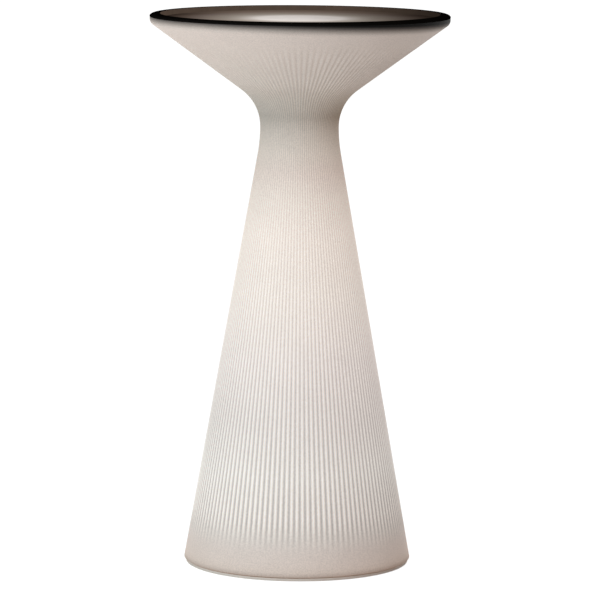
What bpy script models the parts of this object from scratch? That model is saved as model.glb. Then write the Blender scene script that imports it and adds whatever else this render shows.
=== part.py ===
"""Light-up bar table: a ribbed moulded body, a dark rim and top, and a battery light unit in its base.

Metres, +Z up. The origin is on the floor, under the middle of the foot.
"""

import math

import bmesh
import bpy
from mathutils import Matrix, Vector

# Whole table
TABLE_HEIGHT = 1.100
SEAT_GAP = 0.0003
CUT_OVERRUN = 0.002

# Outline of the body shell
FOOT_RADIUS = 0.2264
FOOT_CORNER_CURVE = 0.0015
WAIST_RADIUS = 0.0781
WAIST_DROP = 0.2245
WAIST_LOWER_CURVE = 0.307
WAIST_UPPER_CURVE = 0.091
SHOULDER_RADIUS = 0.2976
SHOULDER_CURVE = 0.013
SHOULDER_RISE = 0.0047
SHOULDER_LAND = 0.0076
SHELL_WALL = 0.005
DECK_WALL = 0.005
FOOT_FLANGE_REACH = 0.034

# Ribs of the body shell
RIB_COUNT = 120
RIB_DEPTH_AT_FOOT = 0.0014
RIB_FOOT_END = 0.060
RIB_FOOT_FADE = 0.030
RIB_TOP_END_DROP = 0.038
RIB_TOP_FADE = 0.020

# Rim and top disc
RIM_NOSE_HEIGHT = 0.0065
RIM_NOSE_PROUD = 0.0004
RIM_CORNER_REACH = 0.010
RIM_CORNER_HEIGHT = 0.0055
RIM_LAND_WIDTH = 0.0115
RIM_INNER_CHAMFER = 0.001
RIM_STEP_CLEARANCE = 0.0006
RIM_FLANGE_THICKNESS = 0.0025
RIM_FLANGE_MARGIN = 0.003
RIM_SCREW_COUNT = 6
RIM_SCREW_LENGTH = 0.0115
TOP_RECESS = 0.0095
DISC_THICKNESS = 0.006
DISC_CLEARANCE = 0.001
DISC_CHAMFER = 0.001
DISC_GASKET_THICKNESS = 0.001
DISC_GASKET_INSET = 0.001

# Countersunk screws and the moulded bosses that take them
SCREW_SHANK_RADIUS = 0.002
SCREW_HEAD_RADIUS = 0.004
SCREW_HEAD_HEIGHT = 0.002
PILOT_SPARE_DEPTH = 0.001
BOSS_RADIUS = 0.0055
BOSS_DEPTH = 0.0065
BOSS_CLEARANCE = 0.002

# Base plate and the gasket under the foot
FLOOR_CLEARANCE = 0.0015
BASE_THICKNESS = 0.0055
BASE_INSET = 0.0038
BASE_CHAMFER = 0.001
BASE_SCREW_COUNT = 6
BASE_SCREW_LENGTH = 0.016
BASE_SCREW_INSET = 0.024
FOOT_GASKET_THICKNESS = 0.0012
FOOT_GASKET_INSET = 0.006
FOOT_GASKET_WIDTH = 0.005

# Levelling glides
GLIDE_COUNT = 4
GLIDE_INSET = 0.020
PAD_RADIUS = 0.014
PAD_THICKNESS = 0.004
PAD_CHAMFER = 0.001
STUD_RADIUS = 0.004
STUD_LENGTH = 0.028
NUT_RADIUS = 0.0075
NUT_HEIGHT = 0.0065

# Light unit: cells, tray and pillars, from the inside out
CELL_COUNT = 3
CELL_RADIUS = 0.0092
CELL_LENGTH = 0.065
CELL_CHAMFER = 0.001
CRADLE_WALL = 0.002
CRADLE_HEIGHT = 0.010
TRAY_THICKNESS = 0.002
PILLAR_RADIUS = 0.004
PILLAR_HEIGHT = 0.020
PILLAR_CLEARANCE = 0.0075
UNIT_SCREW_COUNT = 4
UNIT_SCREW_RADIUS = 0.0015
UNIT_SCREW_HEAD_RADIUS = 0.003
UNIT_SCREW_HEAD_HEIGHT = 0.002
UNIT_SCREW_BITE = 0.010
TRAY_MARGIN = 0.0055
TRAY_CLEARANCE = 0.003

# Light unit: housing, grip wells and bayonet
UNIT_WALL = 0.002
UNIT_FLANGE_REACH = 0.009
UNIT_CLEARANCE = 0.0007
UNIT_SEAL_THICKNESS = 0.001
UNIT_SEAL_WIDTH = 0.004
UNIT_SEAL_INSET = 0.0025
LUG_COUNT = 3
LUG_REACH = 0.0033
LUG_HEIGHT = 0.003
LUG_START_ANGLE = math.radians(12.0)
LUG_ANGLE = math.radians(20.0)
NOTCH_ANGLE = math.radians(24.0)
TWIST_ANGLE = math.radians(45.0)
STOP_ANGLE = math.radians(3.0)
STOP_GAP_ANGLE = math.radians(0.4)
STOP_WIDTH = 0.005
WELL_RADIUS = 0.045
WELL_DEPTH = 0.016
WELL_WALL = 0.002
GRIP_WIDTH = 0.016

# Light unit: driver board and what it carries
BOARD_THICKNESS = 0.0016
BOARD_WIDTH = 0.052
BOARD_OVERHANG = 0.002
BOARD_STANDOFF = 0.0075
BOARD_HEADROOM = 0.003
POST_RADIUS = 0.002
POST_PLACE_SHARES = (0.8, 0.44)
CONTROL_OFFSET = 0.024
BUTTON_RADIUS = 0.006
BUTTON_PROUD = 0.0015
BUTTON_FLANGE_REACH = 0.0015
BUTTON_FLANGE_THICKNESS = 0.001
SWITCH_WIDTH = 0.006
SWITCH_HEIGHT = 0.003
SPRING_RADIUS = 0.002
SPRING_WIRE = 0.0002
SPRING_TURNS = 3
INDICATOR_RADIUS = 0.0015
INDICATOR_OFFSET = 0.014
SOCKET_RADIUS = 0.005
SOCKET_BORE_RADIUS = 0.0032
SOCKET_BORE_DEPTH = 0.008
SOCKET_PIN_RADIUS = 0.0009
SOCKET_PIN_SETBACK = 0.001
LEAD_RADIUS = 0.0012
LEAD_INSET = 0.005

# Light unit: cap of the charging socket
CAP_LAP = 0.001
CAP_THICKNESS = 0.002
CAP_TAB_WIDTH = 0.006
CAP_HINGE_REACH = 0.0018
CAP_BARREL_RADIUS = 0.0016
CAP_PIN_RADIUS = 0.0007
CAP_EAR_WIDTH = 0.0015

# Light unit: light board, its spreader and the dome
SPREADER_THICKNESS = 0.002
SPREADER_MARGIN = 0.0045
LED_COUNT = 6
LED_CIRCLE = 0.034
LED_WIDTH = 0.005
LED_HEIGHT = 0.0012
LED_BOARD_CLEARANCE = 0.005
HOUSING_FREEBOARD = 0.003
DOME_SEAL_THICKNESS = 0.0012
DOME_WALL = 0.002
DOME_RISE = 0.014
DOME_BRIM = 0.003
DOME_LIP_DEPTH = 0.004

# Facets of round pieces
LARGE_FACETS = 48
CAVITY_FACETS = 36
GASKET_FACETS = 28
UNIT_FACETS = 28
SMALL_FACETS = 12
BOSS_FACETS = 8
SCREW_FACETS = 8

FULL_TURN = 2.0 * math.pi
UP = Vector((0.0, 0.0, 1.0))


def crossing_facing(lower, upper, lower_curve, upper_curve):
    """The way that the straight wall between two curves faces, where the curves bend opposite ways."""
    across = upper[0] - lower[0]
    rise = upper[1] - lower[1]
    return math.atan2(rise, across) - math.acos((lower_curve - upper_curve) / math.hypot(across, rise))


# Heights, from the floor up
base_bottom = FLOOR_CLEARANCE
base_top = base_bottom + BASE_THICKNESS
foot_gasket_bottom = base_top + SEAT_GAP
shell_bottom = foot_gasket_bottom + FOOT_GASKET_THICKNESS + SEAT_GAP

# Heights, from the top down
rim_seam = TABLE_HEIGHT - RIM_NOSE_HEIGHT
disc_top = TABLE_HEIGHT - TOP_RECESS
disc_bottom = disc_top - DISC_THICKNESS
disc_gasket_bottom = disc_bottom - SEAT_GAP - DISC_GASKET_THICKNESS
rim_flange_top = disc_gasket_bottom - SEAT_GAP
rim_flange_bottom = rim_flange_top - RIM_FLANGE_THICKNESS
deck_top = rim_flange_bottom - SEAT_GAP
deck_under = deck_top - DECK_WALL
deck_boss_bottom = deck_under - BOSS_DEPTH

# Centres of the body's curves, as (radius, height), and the straight walls between them
waist_height = TABLE_HEIGHT - WAIST_DROP
foot_centre = (FOOT_RADIUS - FOOT_CORNER_CURVE, shell_bottom + FOOT_CORNER_CURVE)
low_waist_centre = (WAIST_RADIUS + WAIST_LOWER_CURVE, waist_height)
high_waist_centre = (WAIST_RADIUS + WAIST_UPPER_CURVE, waist_height)
shoulder_centre = (SHOULDER_RADIUS - SHOULDER_CURVE, rim_seam - SHOULDER_RISE)
cone_facing = crossing_facing(foot_centre, low_waist_centre, FOOT_CORNER_CURVE, -WAIST_LOWER_CURVE)
flare_facing = crossing_facing(high_waist_centre, shoulder_centre, -WAIST_UPPER_CURVE, SHOULDER_CURVE)

# Radii of the foot and of what hangs under it
base_radius = FOOT_RADIUS - BASE_INSET
foot_opening_radius = FOOT_RADIUS - FOOT_FLANGE_REACH
base_screw_circle = FOOT_RADIUS - BASE_SCREW_INSET
glide_circle = foot_opening_radius - GLIDE_INSET

# Radii of the rim
rim_step_radius = SHOULDER_RADIUS - SHOULDER_LAND
rim_radius = SHOULDER_RADIUS + RIM_NOSE_PROUD
rim_top_radius = rim_radius - RIM_CORNER_REACH
rim_inner_radius = rim_top_radius - RIM_LAND_WIDTH
boss_drop = shoulder_centre[1] - deck_boss_bottom
wall_offset = SHOULDER_CURVE - SHELL_WALL + boss_drop * math.sin(flare_facing)
flare_wall_radius = shoulder_centre[0] + wall_offset / math.cos(flare_facing)
rim_screw_circle = flare_wall_radius - BOSS_CLEARANCE - BOSS_RADIUS
rim_flange_inner_radius = rim_screw_circle - SCREW_HEAD_RADIUS - RIM_FLANGE_MARGIN
disc_radius = rim_inner_radius - DISC_CLEARANCE

# Radii of the light unit, from the cells outwards
cell_pitch = 2.0 * CELL_RADIUS + SEAT_GAP
cradle_half_width = (CELL_COUNT * cell_pitch + SEAT_GAP) / 2.0 + CRADLE_WALL
cradle_half_length = CELL_LENGTH / 2.0 + SEAT_GAP + CRADLE_WALL
cradle_reach = math.hypot(cradle_half_width, cradle_half_length)
unit_screw_circle = cradle_reach + PILLAR_RADIUS + PILLAR_CLEARANCE
tray_radius = unit_screw_circle + PILLAR_RADIUS + TRAY_MARGIN
spreader_radius = unit_screw_circle + PILLAR_RADIUS + SPREADER_MARGIN
housing_inner_radius = tray_radius + TRAY_CLEARANCE
unit_radius = housing_inner_radius + UNIT_WALL
unit_flange_radius = unit_radius + UNIT_FLANGE_REACH
led_board_radius = unit_screw_circle - UNIT_SCREW_HEAD_RADIUS - LED_BOARD_CLEARANCE

# Heights of the light unit
unit_bottom = base_bottom
unit_floor_top = unit_bottom + UNIT_WALL
unit_seal_bottom = unit_floor_top + SEAT_GAP
unit_recess_top = unit_seal_bottom + UNIT_SEAL_THICKNESS + SEAT_GAP
lug_bottom = base_top + SEAT_GAP
well_roof_bottom = unit_bottom + WELL_DEPTH
well_roof_top = well_roof_bottom + WELL_WALL
board_bottom = well_roof_top + BOARD_STANDOFF
board_top = board_bottom + BOARD_THICKNESS
tray_bottom = board_top + BOARD_HEADROOM
tray_top = tray_bottom + TRAY_THICKNESS
pillar_top = tray_top + PILLAR_HEIGHT
spreader_bottom = pillar_top + SEAT_GAP
spreader_top = spreader_bottom + SPREADER_THICKNESS
led_board_bottom = spreader_top + SEAT_GAP
led_board_top = led_board_bottom + BOARD_THICKNESS
housing_top = spreader_top + HOUSING_FREEBOARD
dome_seal_bottom = housing_top + SEAT_GAP
dome_bottom = dome_seal_bottom + DOME_SEAL_THICKNESS + SEAT_GAP

# Places of the controls on the light unit
board_half_length = WELL_RADIUS + BOARD_OVERHANG
lead_x = board_half_length - LEAD_INSET
button_top = well_roof_top + SEAT_GAP + BUTTON_FLANGE_THICKNESS
switch_bottom = board_bottom - SEAT_GAP - SWITCH_HEIGHT
cap_radius = SOCKET_RADIUS + SEAT_GAP + CAP_LAP
cap_top = well_roof_bottom - SEAT_GAP
cap_hinge_x = CONTROL_OFFSET + cap_radius + CAP_HINGE_REACH
cap_hinge_z = cap_top - CAP_BARREL_RADIUS


def clear_scene():
    """Removes every object that the scene starts with."""
    for obj in list(bpy.data.objects):
        bpy.data.objects.remove(obj, do_unlink=True)


def material(name, colour, roughness, metallic=0.0, transmission=0.0):
    """A Principled material in one colour."""
    made = bpy.data.materials.new(name)
    made.use_nodes = True
    shader = made.node_tree.nodes["Principled BSDF"]
    shader.inputs["Base Color"].default_value = (*colour, 1.0)
    shader.inputs["Roughness"].default_value = roughness
    shader.inputs["Metallic"].default_value = metallic
    shader.inputs["Transmission Weight"].default_value = transmission
    return made


def mesh_from(bm, name):
    """A mesh with merged points and outward faces, shaded smooth where it is round."""
    bmesh.ops.remove_doubles(bm, verts=bm.verts, dist=SEAT_GAP / 100.0)
    bmesh.ops.recalc_face_normals(bm, faces=bm.faces)
    mesh = bpy.data.meshes.new(name)
    bm.to_mesh(mesh)
    bm.free()
    mesh.shade_smooth()
    mesh.set_sharp_from_angle(angle=math.radians(35.0))
    return mesh


def place(mesh, name, finish, location=(0.0, 0.0, 0.0), rotation=(0.0, 0.0, 0.0)):
    """An object of this mesh, with its finish, at its place."""
    obj = bpy.data.objects.new(name, mesh)
    obj.location = location
    obj.rotation_euler = rotation
    if not mesh.materials:
        mesh.materials.append(finish)
    bpy.context.scene.collection.objects.link(obj)
    return obj


def guide(bm, name):
    """A hidden object that only cuts or extends another one."""
    obj = bpy.data.objects.new(name, mesh_from(bm, name))
    obj.hide_render = True
    obj.display_type = "WIRE"
    bpy.context.scene.collection.objects.link(obj)
    return obj


def combine(target, other, operation):
    """Cuts other out of target, or joins it on, with an exact Boolean."""
    step = target.modifiers.new(f"{operation.lower()} {other.name}", "BOOLEAN")
    step.object = other
    step.operation = operation
    step.solver = "EXACT"


def turn(bm, outline, facets, closed=False):
    """Spins an outline of (radius, height) points round Z. An open outline starts and ends on the axis."""
    verts = [bm.verts.new((radius, 0.0, height)) for radius, height in outline]
    pairs = list(zip(verts, verts[1:]))
    if closed:
        pairs.append((verts[-1], verts[0]))
    edges = [bm.edges.new(pair) for pair in pairs]
    bmesh.ops.spin(
        bm, geom=verts + edges, cent=(0.0, 0.0, 0.0), axis=UP, angle=FULL_TURN, steps=facets, use_merge=True
    )
    return bm


def cylinder(bm, radius, low, high, facets, centre=(0.0, 0.0)):
    """A closed upright cylinder between two heights."""
    middle = Matrix.Translation((*centre, (low + high) / 2.0))
    bmesh.ops.create_cone(
        bm, cap_ends=True, segments=facets, radius1=radius, radius2=radius, depth=high - low, matrix=middle
    )


def block(bm, low, high):
    """A closed box between two corners."""
    low = Vector(low)
    high = Vector(high)
    bmesh.ops.create_cube(
        bm, size=1.0, matrix=Matrix.Translation((low + high) / 2.0) @ Matrix.Diagonal((*(high - low), 1.0))
    )


def sector(bm, inner, outer, low, high, middle, sweep, facets):
    """A closed piece of a ring, centred on an angle."""
    start = middle - sweep / 2.0
    corners = ((inner, low), (outer, low), (outer, high), (inner, high))
    verts = [bm.verts.new((r * math.cos(start), r * math.sin(start), z)) for r, z in corners]
    face = bm.faces.new(verts)
    bmesh.ops.spin(
        bm, geom=[face], cent=(0.0, 0.0, 0.0), axis=UP, angle=sweep, steps=facets, use_merge=False
    )


def around(count, radius, start=0.0):
    """Evenly spaced places on a circle, as (x, y, angle)."""
    for number in range(count):
        angle = start + number * FULL_TURN / count
        yield radius * math.cos(angle), radius * math.sin(angle), angle


class Station:
    """One ring of the body's outline: radius, height, and the direction that its surface faces."""

    def __init__(self, radius, height, facing):
        self.radius = radius
        self.height = height
        self.facing = facing

    def inwards(self, depth):
        """The point this far under the surface, as (radius, height)."""
        radius = self.radius - depth * math.cos(self.facing)
        return radius, self.height - depth * math.sin(self.facing)


def curve_stations(centre, curve, start, end, steps):
    """Rings along a round stretch. A negative curve is a hollow one, with its centre outside the body."""
    made = []
    for step in range(steps + 1):
        facing = start + (end - start) * step / steps
        radius = centre[0] + curve * math.cos(facing)
        made.append(Station(radius, centre[1] + curve * math.sin(facing), facing))
    return made


def between(below, above, height):
    """The ring at this height on the straight wall between two rings."""
    share = (height - below.height) / (above.height - below.height)
    return Station(below.radius + share * (above.radius - below.radius), height, below.facing)


def body_stations():
    """The body's rings from foot to shoulder: foot corner, cone, waist, flare, shoulder."""
    corner = curve_stations(foot_centre, FOOT_CORNER_CURVE, -math.pi / 2.0, cone_facing, 1)
    lower = curve_stations(low_waist_centre, -WAIST_LOWER_CURVE, cone_facing, 0.0, 2)
    upper = curve_stations(high_waist_centre, -WAIST_UPPER_CURVE, 0.0, flare_facing, 3)
    top = curve_stations(shoulder_centre, SHOULDER_CURVE, flare_facing, 0.0, 2)
    ribs_full = RIB_FOOT_END + RIB_FOOT_FADE
    ribs_end = TABLE_HEIGHT - RIB_TOP_END_DROP
    cone = [between(corner[-1], lower[0], height) for height in (RIB_FOOT_END, ribs_full)]
    flare = [between(upper[-1], top[0], height) for height in (ribs_end - RIB_TOP_FADE, ribs_end)]
    return corner + cone + lower + upper[1:] + flare + top


def rib_strength(height):
    """0 where the wall is smooth, 1 where the ribs are full."""
    from_foot = (height - RIB_FOOT_END) / RIB_FOOT_FADE
    from_top = (TABLE_HEIGHT - RIB_TOP_END_DROP - height) / RIB_TOP_FADE
    return max(0.0, min(1.0, from_foot, from_top))


def rib_depth(station):
    """Depth of the grooves at this ring. They narrow and grow shallower together towards the waist."""
    return RIB_DEPTH_AT_FOOT * station.radius / FOOT_RADIUS * rib_strength(station.height)


def ring(bm, station):
    """One ring of points, as (crests, grooves). It has no grooves where the wall is smooth."""
    depth = rib_depth(station)
    crests = [bm.verts.new((x, y, station.height)) for x, y, _ in around(RIB_COUNT, station.radius)]
    if depth == 0.0:
        return crests, []
    radius, height = station.inwards(depth)
    half_pitch = math.pi / RIB_COUNT
    return crests, [bm.verts.new((x, y, height)) for x, y, _ in around(RIB_COUNT, radius, half_pitch)]


def band(bm, lower, upper):
    """The wall between two rings. A groove that meets a smooth ring runs out between two of its points."""
    for number in range(RIB_COUNT):
        after = (number + 1) % RIB_COUNT
        below = (lower[0][number], lower[0][after])
        above = (upper[0][number], upper[0][after])
        if lower[1] and upper[1]:
            bm.faces.new((below[0], lower[1][number], upper[1][number], above[0]))
            bm.faces.new((lower[1][number], below[1], above[1], upper[1][number]))
        elif lower[1] or upper[1]:
            groove = (lower[1] or upper[1])[number]
            bm.faces.new((below[0], groove, above[0]))
            bm.faces.new((groove, below[1], above[1]))
            ends = above if lower[1] else below
            bm.faces.new((groove, ends[1], ends[0]))
        else:
            bm.faces.new((below[0], below[1], above[1], above[0]))


def body_cavity(stations):
    """The hollow of the body: open at the foot inside its flange, and closed by the deck."""
    floor = shell_bottom + SHELL_WALL
    upright = [station for station in stations if station.height > shell_bottom + FOOT_CORNER_CURVE]
    wall = [station.inwards(SHELL_WALL + rib_depth(station)) for station in upright]
    inside = [point for point in wall if point[1] < deck_under]
    outline = [(0.0, shell_bottom - CUT_OVERRUN), (foot_opening_radius, shell_bottom - CUT_OVERRUN)]
    outline += [(foot_opening_radius, floor), (radius_on(wall[0], wall[1], floor), floor), *inside]
    outline += [(radius_on(inside[-1], wall[len(inside)], deck_under), deck_under), (0.0, deck_under)]
    return guide(turn(bmesh.new(), outline, CAVITY_FACETS), "body_cavity")


def radius_on(below, above, height):
    """The radius at a height on the straight run between two (radius, height) points."""
    return below[0] + (above[0] - below[0]) * (height - below[1]) / (above[1] - below[1])


def boss_set(name, count, circle, low, high):
    """Moulded bosses that thicken the shell round its screws."""
    bm = bmesh.new()
    for x, y, _ in around(count, circle):
        cylinder(bm, BOSS_RADIUS, low, high, BOSS_FACETS, (x, y))
    return guide(bm, name)


def pilot_set(name, count, circle, low, high, radius):
    """Round holes in a circle, as one cutter."""
    bm = bmesh.new()
    for x, y, _ in around(count, circle):
        cylinder(bm, radius, low, high, SCREW_FACETS, (x, y))
    return guide(bm, name)


def build_body_shell(finish):
    """The one-piece moulded body, with its ribs, foot flange and deck."""
    stations = body_stations()
    bm = bmesh.new()
    seat = [(SHOULDER_RADIUS, rim_seam), (rim_step_radius, rim_seam), (rim_step_radius, deck_top)]
    rings = [ring(bm, station) for station in stations + [Station(*place_on, 0.0) for place_on in seat]]
    for lower, upper in zip(rings, rings[1:]):
        band(bm, lower, upper)
    bm.faces.new(rings[0][0])
    bm.faces.new(rings[-1][0])
    shell = place(mesh_from(bm, "body_shell"), "body_shell", finish)
    combine(shell, body_cavity(stations), "DIFFERENCE")
    foot_top = shell_bottom + SHELL_WALL
    foot_bosses = boss_set(
        "foot_bosses", BASE_SCREW_COUNT, base_screw_circle, foot_top - SHELL_WALL / 2.0, foot_top + BOSS_DEPTH
    )
    combine(shell, foot_bosses, "UNION")
    deck_bosses = boss_set(
        "deck_bosses", RIM_SCREW_COUNT, rim_screw_circle, deck_boss_bottom, deck_under + DECK_WALL / 2.0
    )
    combine(shell, deck_bosses, "UNION")
    pilot_radius = SCREW_SHANK_RADIUS + SEAT_GAP
    foot_pilots = pilot_set(
        "foot_pilots",
        BASE_SCREW_COUNT,
        base_screw_circle,
        shell_bottom - CUT_OVERRUN,
        base_bottom + BASE_SCREW_LENGTH + PILOT_SPARE_DEPTH,
        pilot_radius,
    )
    combine(shell, foot_pilots, "DIFFERENCE")
    deck_pilots = pilot_set(
        "deck_pilots",
        RIM_SCREW_COUNT,
        rim_screw_circle,
        rim_flange_top - RIM_SCREW_LENGTH - PILOT_SPARE_DEPTH,
        deck_top + CUT_OVERRUN,
        pilot_radius,
    )
    combine(shell, deck_pilots, "DIFFERENCE")


def countersunk_outline(length, clearance=0.0, overrun=0.0):
    """Half section of a countersunk screw that points down from height 0."""
    head = SCREW_HEAD_RADIUS + clearance
    shank = SCREW_SHANK_RADIUS + clearance
    outline = [(0.0, overrun), (head, overrun), (shank, -SCREW_HEAD_HEIGHT), (shank, -length), (0.0, -length)]
    if overrun:
        outline.insert(2, (head, 0.0))
    return outline


def countersink_set(name, count, circle, height, length, facing_up):
    """The countersunk clearance holes of one ring of screws, as one cutter."""
    bm = bmesh.new()
    for x, y, angle in around(count, circle):
        hole = turn(bmesh.new(), countersunk_outline(length, SEAT_GAP, CUT_OVERRUN), SCREW_FACETS)
        tip = Matrix.Identity(4) if facing_up else Matrix.Rotation(math.pi, 4, "X")
        bmesh.ops.transform(hole, matrix=Matrix.Translation((x, y, height)) @ tip, verts=hole.verts)
        loose = mesh_from(hole, f"{name} {angle:.2f}")
        bm.from_mesh(loose)
        bpy.data.meshes.remove(loose)
    return guide(bm, name)


def build_screws(name, count, circle, height, length, facing_up, finish):
    """One ring of countersunk screws. They share a mesh."""
    mesh = mesh_from(turn(bmesh.new(), countersunk_outline(length), SCREW_FACETS), name)
    turned_over = (0.0, 0.0, 0.0) if facing_up else (math.pi, 0.0, 0.0)
    for number, (x, y, _) in enumerate(around(count, circle), start=1):
        place(mesh, f"{name}_{number}", finish, (x, y, height), turned_over)


def build_top_rim(finish):
    """The dark rim: a rounded nose over the shoulder, and a flange that is screwed to the deck."""
    corner_low = TABLE_HEIGHT - RIM_CORNER_HEIGHT
    nose_bottom = rim_seam + SEAT_GAP
    outline = [
        (rim_flange_inner_radius, rim_flange_bottom),
        (rim_flange_inner_radius, rim_flange_top),
        (rim_inner_radius, rim_flange_top),
        (rim_inner_radius, TABLE_HEIGHT - RIM_INNER_CHAMFER),
        (rim_inner_radius + RIM_INNER_CHAMFER, TABLE_HEIGHT),
    ]
    corner_steps = 3
    for step in range(corner_steps + 1):
        angle = math.pi / 2.0 * (1.0 - step / corner_steps)
        radius = rim_top_radius + RIM_CORNER_REACH * math.cos(angle)
        outline.append((radius, corner_low + RIM_CORNER_HEIGHT * math.sin(angle)))
    outline.append((SHOULDER_RADIUS, nose_bottom))
    outline.append((rim_step_radius - RIM_STEP_CLEARANCE, nose_bottom))
    outline.append((rim_step_radius - RIM_STEP_CLEARANCE, rim_flange_bottom))
    mesh = mesh_from(turn(bmesh.new(), outline, LARGE_FACETS, closed=True), "top_rim")
    rim = place(mesh, "top_rim", finish)
    holes = countersink_set(
        "rim_holes",
        RIM_SCREW_COUNT,
        rim_screw_circle,
        rim_flange_top,
        RIM_FLANGE_THICKNESS + CUT_OVERRUN,
        facing_up=True,
    )
    combine(rim, holes, "DIFFERENCE")


def build_flat_ring(name, inner, outer, low, thickness, facets, finish):
    """A flat ring, such as a gasket or a seal."""
    high = low + thickness
    outline = [(inner, low), (outer, low), (outer, high), (inner, high)]
    place(mesh_from(turn(bmesh.new(), outline, facets, closed=True), name), name, finish)


def build_top_disc(finish):
    """The smoked disc that lies inside the rim on its gasket."""
    outline = [
        (0.0, disc_bottom),
        (disc_radius, disc_bottom),
        (disc_radius, disc_top - DISC_CHAMFER),
        (disc_radius - DISC_CHAMFER, disc_top),
        (0.0, disc_top),
    ]
    place(mesh_from(turn(bmesh.new(), outline, LARGE_FACETS), "top_disc"), "top_disc", finish)


def bayonet_openings():
    """The light unit's hole in the base plate: a recess for its flange, a bore, and a notch for each lug."""
    low = base_bottom - CUT_OVERRUN
    high = base_top + CUT_OVERRUN
    recess_radius = unit_flange_radius + UNIT_CLEARANCE
    bore_radius = unit_radius + UNIT_CLEARANCE
    outline = [(0.0, low), (recess_radius, low), (recess_radius, unit_recess_top)]
    outline += [(bore_radius, unit_recess_top), (bore_radius, high), (0.0, high)]
    bore = guide(turn(bmesh.new(), outline, UNIT_FACETS), "unit_bore")
    bm = bmesh.new()
    notch_radius = unit_radius + LUG_REACH + UNIT_CLEARANCE
    for _, _, angle in around(LUG_COUNT, unit_radius, LUG_START_ANGLE + TWIST_ANGLE):
        sector(bm, housing_inner_radius, notch_radius, low, high, angle, NOTCH_ANGLE, 4)
    return bore, guide(bm, "lug_notches")


def lug_stops():
    """Blocks on the base plate that the lugs turn up against when the unit is locked."""
    bm = bmesh.new()
    inner = unit_radius + UNIT_CLEARANCE + SEAT_GAP
    low = base_top - CUT_OVERRUN
    offset = (LUG_ANGLE + STOP_ANGLE) / 2.0 + STOP_GAP_ANGLE
    for _, _, angle in around(LUG_COUNT, unit_radius, LUG_START_ANGLE - offset):
        sector(bm, inner, inner + STOP_WIDTH, low, lug_bottom + LUG_HEIGHT, angle, STOP_ANGLE, 1)
    return guide(bm, "lug_stops")


def build_base_plate(finish):
    """The plate that closes the foot. It carries the light unit and the glides."""
    outline = [
        (0.0, base_bottom),
        (base_radius - BASE_CHAMFER, base_bottom),
        (base_radius, base_bottom + BASE_CHAMFER),
        (base_radius, base_top),
        (0.0, base_top),
    ]
    plate = place(mesh_from(turn(bmesh.new(), outline, LARGE_FACETS), "base_plate"), "base_plate", finish)
    bore, notches = bayonet_openings()
    combine(plate, lug_stops(), "UNION")
    combine(plate, bore, "DIFFERENCE")
    combine(plate, notches, "DIFFERENCE")
    screw_holes = countersink_set(
        "base_holes",
        BASE_SCREW_COUNT,
        base_screw_circle,
        base_bottom,
        BASE_THICKNESS + CUT_OVERRUN,
        facing_up=False,
    )
    combine(plate, screw_holes, "DIFFERENCE")
    bm = bmesh.new()
    for x, y, _ in glide_places():
        pocket = turn(bmesh.new(), glide_pocket_outline(), SMALL_FACETS)
        bmesh.ops.translate(pocket, vec=(x, y, 0.0), verts=pocket.verts)
        loose = mesh_from(pocket, "glide_pocket")
        bm.from_mesh(loose)
        bpy.data.meshes.remove(loose)
    combine(plate, guide(bm, "glide_pockets"), "DIFFERENCE")


def glide_places():
    """Where the glides stand: between the base screws."""
    return around(GLIDE_COUNT, glide_circle, math.pi / GLIDE_COUNT)


def glide_pocket_outline():
    """Half section of a glide's pocket and of its stud's hole."""
    pad = PAD_RADIUS + SEAT_GAP
    stud = STUD_RADIUS + SEAT_GAP
    roof = PAD_THICKNESS + SEAT_GAP
    low = base_bottom - CUT_OVERRUN
    high = base_top + CUT_OVERRUN
    return [(0.0, low), (pad, low), (pad, roof), (stud, roof), (stud, high), (0.0, high)]


def build_glides(pad_finish, metal_finish):
    """Four levelling glides: a pad and a threaded stud that move together, and a fixed nut."""
    outline = [
        (0.0, 0.0),
        (PAD_RADIUS - PAD_CHAMFER, 0.0),
        (PAD_RADIUS, PAD_CHAMFER),
        (PAD_RADIUS, PAD_THICKNESS),
        (0.0, PAD_THICKNESS),
    ]
    pad = mesh_from(turn(bmesh.new(), outline, SMALL_FACETS), "glide_pad")
    bm = bmesh.new()
    cylinder(bm, STUD_RADIUS, 0.0, STUD_LENGTH, SCREW_FACETS)
    stud = mesh_from(bm, "glide_stud")
    bm = bmesh.new()
    cylinder(bm, NUT_RADIUS, 0.0, NUT_HEIGHT, 6)
    nut = mesh_from(bm, "glide_nut")
    nut_top = base_top + SEAT_GAP + NUT_HEIGHT
    bm = bmesh.new()
    for x, y, _ in glide_places():
        cylinder(bm, STUD_RADIUS + SEAT_GAP, base_top, nut_top + CUT_OVERRUN, SCREW_FACETS, (x, y))
    threads = guide(bm, "nut_threads")
    for number, (x, y, _) in enumerate(glide_places(), start=1):
        place(pad, f"glide_pad_{number}", pad_finish, (x, y, 0.0))
        place(stud, f"glide_stud_{number}", metal_finish, (x, y, PAD_THICKNESS + SEAT_GAP))
        fixed = place(nut, f"glide_nut_{number}", metal_finish, (x, y, base_top + SEAT_GAP))
        combine(fixed, threads, "DIFFERENCE")


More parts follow.
